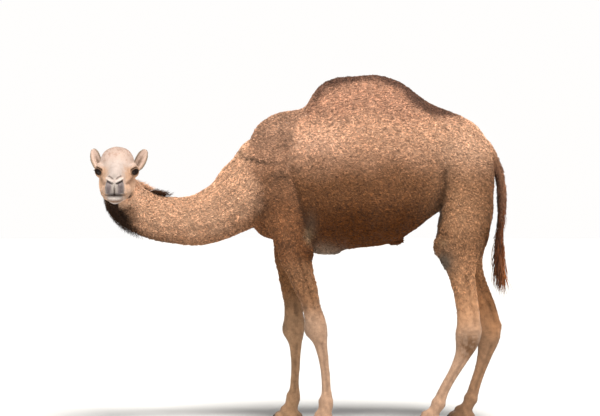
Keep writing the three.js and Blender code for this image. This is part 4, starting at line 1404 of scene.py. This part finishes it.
def face_coat(head, coat):
    """Short flat hair on the face, longer under the jaw and woollier towards the neck."""
    root, n = faces_of(head)
    colour, bare = marks(root, n)
    p = unplace(root, HEAD)
    station, _, _ = neck_place(root)
    on_neck = p[:, 0] < -110
    open_eye = np.minimum(lid_place(p, 1)[0], lid_place(p, -1)[0]) < 1.12
    chance = np.where(on_neck, 0.3, 0.46) * (1 - bare) * ~open_eye
    chance *= ~(on_neck & (station < 8.0))
    chance *= 1 - mouth_line(p)[0]
    keep = rng.uniform(size=len(root)) < chance
    root, n, colour, p = root[keep], n[keep], colour[keep], p[keep]
    x, _, z = p.T
    count = len(root)
    local = toward(np.tile((-1.0, 0, 0.25), (count, 1)), np.array((-0.5, 0, -0.9)), ramp(z, -60, -120))
    lie = tangent(local @ np.array(HEAD.to_3x3()).T, n)
    _, _, i = neck_place(root)
    lie = tangent(toward(lie, -NECK_LINE[1][i], ramp(x, -90, -150)), n)
    woolly = ramp(x, -60, -140)
    throat = ramp(z, -105, -125) * ramp(x, 90, 40)
    crown_wool = ramp(z, 60, 110) * ramp(x, 30, -40)
    length = 7.5 + 5 * woolly + 3 * crown_wool + 14 * throat
    reach = lie * (length * rng.uniform(0.75, 1.25, count))[:, None]
    reach += np.cross(n, lie) * rng.normal(0, 1.0 + 2.4 * woolly)[:, None]
    reach += n * ((woolly + throat) * rng.uniform(0, 5, count))[:, None]
    tint = 1.06 + rng.normal(0, 0.06 + 0.06 * np.maximum(woolly, throat), count)
    rise = 0.3 + 2.8 * woolly + 0.5 * crown_wool + throat
    tone = colour * tint[:, None]
    coat.add("head", root, n, reach, rise, 1.0 + 1.3 * woolly, tone, rings=1, sink=1.2, flat=0.32, dark=0.96)


def neck_surface(station, angle):
    """A place on the neck's skin at a station and an angle from the nape, the way out, and the neck's way."""
    centre, along, nape, side = neck_frame(station)
    out = nape * math.cos(angle) + side * math.sin(angle)
    deep, wide = neck_deep(station) - WOOL_DEPTH, neck_wide(station) - WOOL_DEPTH
    return centre + nape * math.cos(angle) * deep + side * math.sin(angle) * wide, out, along


def long_locks(coat, count, stations, angles, length, width, tone, droop, lift):
    """Long hair on the neck, which hangs by droop and is swept to the chest."""
    rows = [neck_surface(rng.triangular(*stations), rng.uniform(*angles)) for _ in range(count)]
    roots, outs, alongs = (np.array(part) for part in zip(*rows))
    size = rng.uniform(*length, count)[:, None]
    way = unit(-alongs + outs * lift + np.array((0, 0, -droop)) + rng.normal(0, 0.28, (count, 3)))
    normal = unit(outs - way * (outs * way).sum(1)[:, None] * 0.9)
    colour = tone * (1.25 + rng.normal(0, 0.3, (count, 1)))
    rise, wide = size[:, 0] * 0.1, rng.uniform(*width, count)
    coat.add("neck", roots, normal, way * size, rise, wide, colour, rings=4, sink=4)


def tail_hair():
    """One hair of the tail: root, the way out of it, its own way, its length, and its share of TUFT_END."""
    t = rng.uniform(0.3, 0.93) ** 0.8
    centre, along = tail_frame(t)
    angle = rng.uniform(0, 2 * math.pi)
    out = unit(np.cross(along, (0, 1, 0))) * math.cos(angle) + np.array((0, 1, 0)) * math.sin(angle)
    way = unit(along + out * rng.uniform(0.0, 0.22) + rng.normal(0, 0.07, 3))
    length = rng.uniform(0.5, 1.0) * (44 + 170 * ramp(t, 0.4, 0.93))
    return centre + out * (tail_thick(t) - 15), out, way, length, ramp(t, 0.66, 0.9) * rng.uniform(0, 1.2)


def tail_coat(coat, count=1100):
    """The long hair of the tail and its tuft."""
    rows = [tail_hair() for _ in range(count)]
    roots, outs, ways, lengths, ends = (np.array(part) for part in zip(*rows))
    lengths = lengths[:, None]
    # painted light: hairs on the side of the tail that faces back are lighter, those on its front darker,
    # with a random spread
    shade = 1 + 0.6 * outs[:, :1] + rng.normal(0, 0.24, (count, 1))
    colour = toward(np.tile(TUFT_TONE, (count, 1)), TUFT_END, ends) * np.maximum(shade, 0.2)
    width, bend = rng.uniform(2.2, 4.2, count), rng.normal(0, 0.11, (count, 3)) * lengths
    coat.add("tail", roots, outs, ways * lengths, 4.0, width, colour, rings=4, sink=3, bend=bend)


def ear_hair(i):
    """One hair in the ear's axes; every fourth grows on the rim, and every eighth over the ear's mouth."""
    t, s = rng.uniform(0.04, 0.97), rng.uniform(-1, 1)
    edge = i % 4 == 0
    if edge:
        s = rng.choice((-1, 1)) * rng.uniform(0.9, 1.0)
    p, back, tipward, thick = ear_sheet(s, t)
    back = back * (-1 if back[0] > 0 else 1)
    inward = np.array((0.35, -np.sign(s) * 0.8, 0)) if i % 8 == 0 else np.zeros(3)
    way = tipward + inward + rng.normal(0, 0.1, 3)
    length = rng.uniform(7, 12) if edge else rng.uniform(6, 9)
    return p + back * (thick * 0.6 if edge else thick), back, way, length, EAR_RIM * (1 + rng.normal(0, 0.1))


def ear_coat(side, coat, count=1500):
    """Short hair over the ear's back, and longer hair from its edges over its mouth."""
    axes = np.array(ear_matrix(side).to_3x3())
    rows = [ear_hair(i) for i in range(count)]
    roots, outs, ways, lengths, tones = (np.array(part) for part in zip(*rows))
    root = place(roots, ear_matrix(side))
    reach = unit(ways) @ axes.T * lengths[:, None]
    name = "ear_left" if side == 1 else "ear_right"
    coat.add(name, root, outs @ axes.T, reach, 0.8, 1.0, tones, sink=1.0, dark=0.8)


def lashes(side, coat):
    """Long lashes on the upper lid, and a few short ones on the lower."""
    centre, gaze, nasal, up = eye_axes(side)
    axes = np.array(HEAD.to_3x3())
    roots, ways = [], []
    for count, lid_height, drop, length in ((110, 13.5, -0.3, (18, 29)), (26, -10.0, -0.55, (6, 10))):
        for k in range(count):
            a = 20 * (2 * (k + 0.5) / count - 1) + rng.uniform(-0.5, 0.5)
            height = lid_height * math.sqrt(max(1 - (a / 21.5) ** 2, 0.02))
            ahead = math.sqrt(max((EYE_RADIUS + 1) ** 2 - a * a - height * height, 0))
            roots.append(centre + nasal * a + up * (height - 0.12 * a) + gaze * ahead)
            way = gaze * 0.75 + up * drop + nasal * (a / 26) + rng.normal(0, 0.08, 3)
            ways.append(unit(way) * rng.uniform(*length))
    count = len(roots)
    out = np.tile(unit(up * 0.9 + gaze * 0.3) @ axes.T, (count, 1))
    tone = np.tile(DARK * 0.7, (count, 1))
    root = place(np.array(roots), HEAD)
    coat.add("head", root, out, np.array(ways) @ axes.T, 1.6, 0.5, tone, rings=3, sink=1, dark=1.0)


# ---------------------------------------------------------------- materials

def feed(tree, node, sockets):
    """Sets each socket of a node to its value, or joins it to the output of another node."""
    for key, value in sockets.items():
        if isinstance(value, bpy.types.NodeSocket):
            tree.links.new(value, node.inputs[key])
        else:
            node.inputs[key].default_value = value


def new_material(name, sockets):
    """A material, its node tree, and its shader with the given sockets set."""
    material = bpy.data.materials.new(name)
    material.use_nodes = True
    shader = material.node_tree.nodes["Principled BSDF"]
    feed(material.node_tree, shader, sockets)
    return material, material.node_tree, shader


def add_node(tree, kind, out, sockets, **settings):
    """The named output of a new node, whose sockets are set or joined."""
    node = tree.nodes.new(kind)
    for key, value in settings.items():
        setattr(node, key, value)
    feed(tree, node, sockets)
    return node.outputs[out]


def tone_ramp(tree, share, stops):
    """The colour that a row of stops (place, colour) has at a share."""
    output = add_node(tree, "ShaderNodeValToRGB", "Color", {"Fac": share})
    elements = output.node.color_ramp.elements
    for element, (at, colour) in zip(elements, (stops[0], stops[-1])):
        element.position = at
        element.color = (*colour, 1)
    for at, colour in stops[1:-1]:
        elements.new(at).color = (*colour, 1)
    return output


def coat_material(name, grain, contrast, stretch, roughness, sheen, bump):
    """Markings from the mesh, broken up by a grain that is drawn out along the fall of the hair."""
    look = {"Sheen Weight": sheen, "Sheen Roughness": 0.5, "IOR": 1.4, "Specular IOR Level": 0.2}
    material, tree, shader = new_material(name, look)
    mark = add_node(tree, "ShaderNodeAttribute", "Color", {}, attribute_name="mark")
    bare = add_node(tree, "ShaderNodeAttribute", "Fac", {}, attribute_name="bare")
    place_of = add_node(tree, "ShaderNodeTexCoord", "Object", {})
    mapped = add_node(tree, "ShaderNodeMapping", "Vector", {"Vector": place_of, "Scale": stretch})
    noise = {"Vector": mapped, "Scale": grain, "Detail": 4.0, "Roughness": 0.6}
    fine = add_node(tree, "ShaderNodeTexNoise", "Fac", noise)
    levels = {"From Min": 0.3, "From Max": 0.7, "To Min": 1 - contrast, "To Max": 1 + 0.8 * contrast}
    level = add_node(tree, "ShaderNodeMapRange", "Result", {"Value": fine, **levels})
    tinted = add_node(tree, "ShaderNodeVectorMath", "Vector", {0: mark, "Scale": level}, operation="SCALE")
    bare_gloss = {"Value": bare, "To Min": roughness, "To Max": 0.55}
    gloss = add_node(tree, "ShaderNodeMapRange", "Result", bare_gloss)
    feed(tree, shader, {"Base Color": tinted, "Roughness": gloss})
    if bump:
        height = {"Height": fine, "Strength": 0.5, "Distance": bump}
        feed(tree, shader, {"Normal": add_node(tree, "ShaderNodeBump", "Normal", height)})
    return material


EYE_TONES = [  # how far out from the middle, and the tone there: pupil, iris and the white's dark edge
    (0.0, srgb(8, 6, 6)), (0.3, srgb(10, 7, 6)), (0.36, srgb(50, 29, 17)), (0.62, srgb(36, 21, 13)),
    (0.78, srgb(14, 10, 8)), (1.0, srgb(70, 50, 40)),
]


def eye_material():
    """A dark iris round a level oval pupil, under a wet surface; local Z is the way the eye looks."""
    material, tree, shader = new_material("eye_wet", {"Roughness": 0.1, "IOR": 1.34})
    place_of = add_node(tree, "ShaderNodeTexCoord", "Object", {})
    oval = add_node(tree, "ShaderNodeMapping", "Vector", {"Vector": place_of, "Scale": (1.0, 1.25, 0.0)})
    distance = add_node(tree, "ShaderNodeVectorMath", "Value", {0: oval}, operation="LENGTH")
    in_radii = {0: distance, 1: 1000 / EYE_RADIUS}
    share = add_node(tree, "ShaderNodeMath", "Value", in_radii, operation="MULTIPLY")
    ring = tone_ramp(tree, share, EYE_TONES)
    rays = add_node(tree, "ShaderNodeTexNoise", "Fac", {"Vector": place_of, "Scale": 380.0, "Detail": 3.0})
    level = add_node(tree, "ShaderNodeMapRange", "Result", {"Value": rays, "To Min": 0.7, "To Max": 1.3})
    tinted = add_node(tree, "ShaderNodeVectorMath", "Vector", {0: ring, "Scale": level}, operation="SCALE")
    feed(tree, shader, {"Base Color": tinted})
    return material


def plain_material(name, dark, light, scale, roughness, bump):
    """Two near tones mixed by noise, such as horn or a pale floor."""
    material, tree, shader = new_material(name, {"Roughness": roughness})
    place_of = add_node(tree, "ShaderNodeTexCoord", "Object", {})
    noise = add_node(tree, "ShaderNodeTexNoise", "Fac", {"Vector": place_of, "Scale": scale, "Detail": 5.0})
    raised = add_node(tree, "ShaderNodeBump", "Normal", {"Height": noise, "Strength": 0.4, "Distance": bump})
    feed(tree, shader, {"Base Color": tone_ramp(tree, noise, [(0.3, dark), (0.7, light)]), "Normal": raised})
    return material


# ---------------------------------------------------------------- the pieces

def joined(objects, name):
    with bpy.context.temp_override(active_object=objects[0], selected_editable_objects=objects):
        bpy.ops.object.join()
    objects[0].name = name
    return objects[0]


def finish_piece(obj, slot_name, *nodes):
    obj.data.polygons.foreach_set("use_smooth", np.ones(len(obj.data.polygons), bool))
    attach(obj, "root")
    if nodes:
        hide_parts(*nodes)


def ball_piece(name, node, material, axes, slot_name, size=None):
    """A smooth ball in the place of a CAD node, turned to the given axes."""
    low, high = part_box(node)
    half = (high - low) / 2 if size is None else size
    points, faces = egg((0, 0, 0), half, rings=24, count=40)
    obj = mesh_object(name, points, faces, metres=False)
    matrix = axes.copy()
    matrix.translation = (low + high) / 2
    obj.matrix_world = matrix
    obj.data.materials.append(material)
    finish_piece(obj, slot_name, node)
    return obj


def eye_piece(side, material):
    name = "eye_left" if side == 1 else "eye_right"
    _, gaze, nasal, _ = eye_axes(side)
    axes = (HEAD.to_3x3() @ Matrix((nasal, np.cross(gaze, nasal), gaze)).transposed()).to_4x4()
    return ball_piece(f"ball_{name}", name, material, axes, "eye", np.full(3, EYE_RADIUS * 0.001))


LOCKS = [  # count, stations, angles from the nape (degrees), length, width, tone, droop, lift
    (3000, (6.2, 8.4, 9.4), (132, 228), (20, 44), (0.9, 2.0), THROAT, 0.8, 0.7),  # throat
    (700, (5.2, 6.2, 7.1), (-12, 12), (26, 52), (0.8, 1.6), THROAT * 1.9, 0, 1.0),  # nape
    (500, (6.9, 7.9, 8.8), (-12, 12), (30, 54), (0.9, 1.8), NECK_SAND * 0.9, 0, 1.3),  # nape by the head
]


def build_coat(body, head):
    """The wool and the hair, as the pieces of two coats."""
    wool, coat = Coat("wool"), Coat("coat")
    wool_layer(body, wool, 2, UNDER_SHARE, 0)
    wool_layer(body, wool, 1, CURL_SHARE, 1)
    sleek_coat(body, coat)
    face_coat(head, coat)
    for count, stations, angles, *rest in LOCKS:
        long_locks(coat, count, stations, [math.radians(a) for a in angles], *rest)
    tail_coat(coat)
    for side in (-1, 1):
        ear_coat(side, coat)
        lashes(side, coat)
    return wool, coat


def paint_skin(obj, woolly):
    """The markings on the skin, with painted shade between the clumps of the wool that covers it."""
    co = coords(obj)
    colour, bare = marks(co, normals(obj))
    clumps = 0.62 + 0.16 * wobble(co, 34, 34) + 0.12 * wobble(co, 20, 35)
    shade = 1 - (1 - clumps) * curliness(co) * (1 - bare) * woolly
    paint(obj, colour * shade[:, None], bare)


def build_animal():
    skin_tone = coat_material("skin_short_hair", 420.0, 0.24, (1, 1, 0.35), 0.85, 0.12, 0.0012)
    wool_tone = coat_material("coat_wool", 78.0, 0.72, (1, 1, 1.3), 0.9, 0.04, 0.0)
    hair_tone = coat_material("coat_hair", 260.0, 0.2, (1, 1, 1), 0.9, 0.04, 0.0)
    body, head = body_skin(), head_skin()
    ears = [mesh_object(f"ear_{side}", *ear_form(side)) for side in (-1, 1)]
    wool, coat = build_coat(body, head)
    paint_skin(body, True)
    paint_skin(head, False)
    for side, ear in zip((-1, 1), ears):
        colour = ear_marks(side, coords(ear))
        paint(ear, colour, np.zeros(len(colour)))
    skin = joined([body, head, *ears], "skin")
    skin.data.materials.clear()
    skin.data.materials.append(skin_tone)
    flesh = [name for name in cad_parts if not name.startswith(("eye", "nail"))]
    finish_piece(skin, "coat", *flesh)
    for piece in wool.pieces(wool_tone) + coat.pieces(hair_tone):
        finish_piece(piece, "coat")
    wet, horn = eye_material(), plain_material("horn", srgb(58, 46, 38), srgb(96, 80, 66), 90.0, 0.5, 0.0006)
    for side in (-1, 1):
        eye_piece(side, wet)
    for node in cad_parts:
        if node.startswith("nail"):
            ball_piece(f"horn_{node}", node, horn, Matrix.Identity(4), "horn")


def soft_light(name, energy, angle, way):
    """A wide even light that shines along way."""
    sun = bpy.data.lights.new(name, "SUN")
    sun.energy = energy
    sun.angle = angle
    sun.color = (1.0, 0.97, 0.93)
    light = add_object(name, sun)
    light.rotation_euler = Vector(way).to_track_quat("-Z", "Y").to_euler()


def build_studio():
    bpy.ops.mesh.primitive_circle_add(vertices=96, radius=60, fill_type="NGON", location=(0, 0, 0))
    floor = bpy.context.object
    floor.name = "floor"
    pale = plain_material("floor_pale", (0.63, 0.63, 0.62), (0.65, 0.65, 0.64), 6.0, 0.9, 0.0)
    floor.data.materials.append(pale)
    world = bpy.data.worlds.new("studio")
    bpy.context.scene.world = world
    bpy.context.scene.view_settings.view_transform = "Standard"
    world.use_nodes = True
    tree = world.node_tree
    seen = add_node(tree, "ShaderNodeLightPath", "Is Camera Ray", {})
    glow = {"Value": seen, "To Min": SKY_LIGHT, "To Max": SKY_SEEN}
    strength = add_node(tree, "ShaderNodeMapRange", "Result", glow)
    feed(tree, tree.nodes["Background"], {"Color": (1.0, 0.99, 0.98, 1), "Strength": strength})
    for name, (energy, angle, way) in LIGHTS.items():
        soft_light(name, energy, angle, way)


def build_camera():
    lens = bpy.data.cameras.new("view")
    lens.sensor_width = 36
    lens.lens = LENS
    camera = add_object("view", lens)
    camera.location = (SHIFT[0] * 0.001, -CAMERA_AWAY + SHIFT[1] * 0.001, CAMERA_UP)
    camera.rotation_euler = (math.radians(90), 0, 0)
    bpy.context.scene.camera = camera


build_animal()
build_studio()
build_camera()
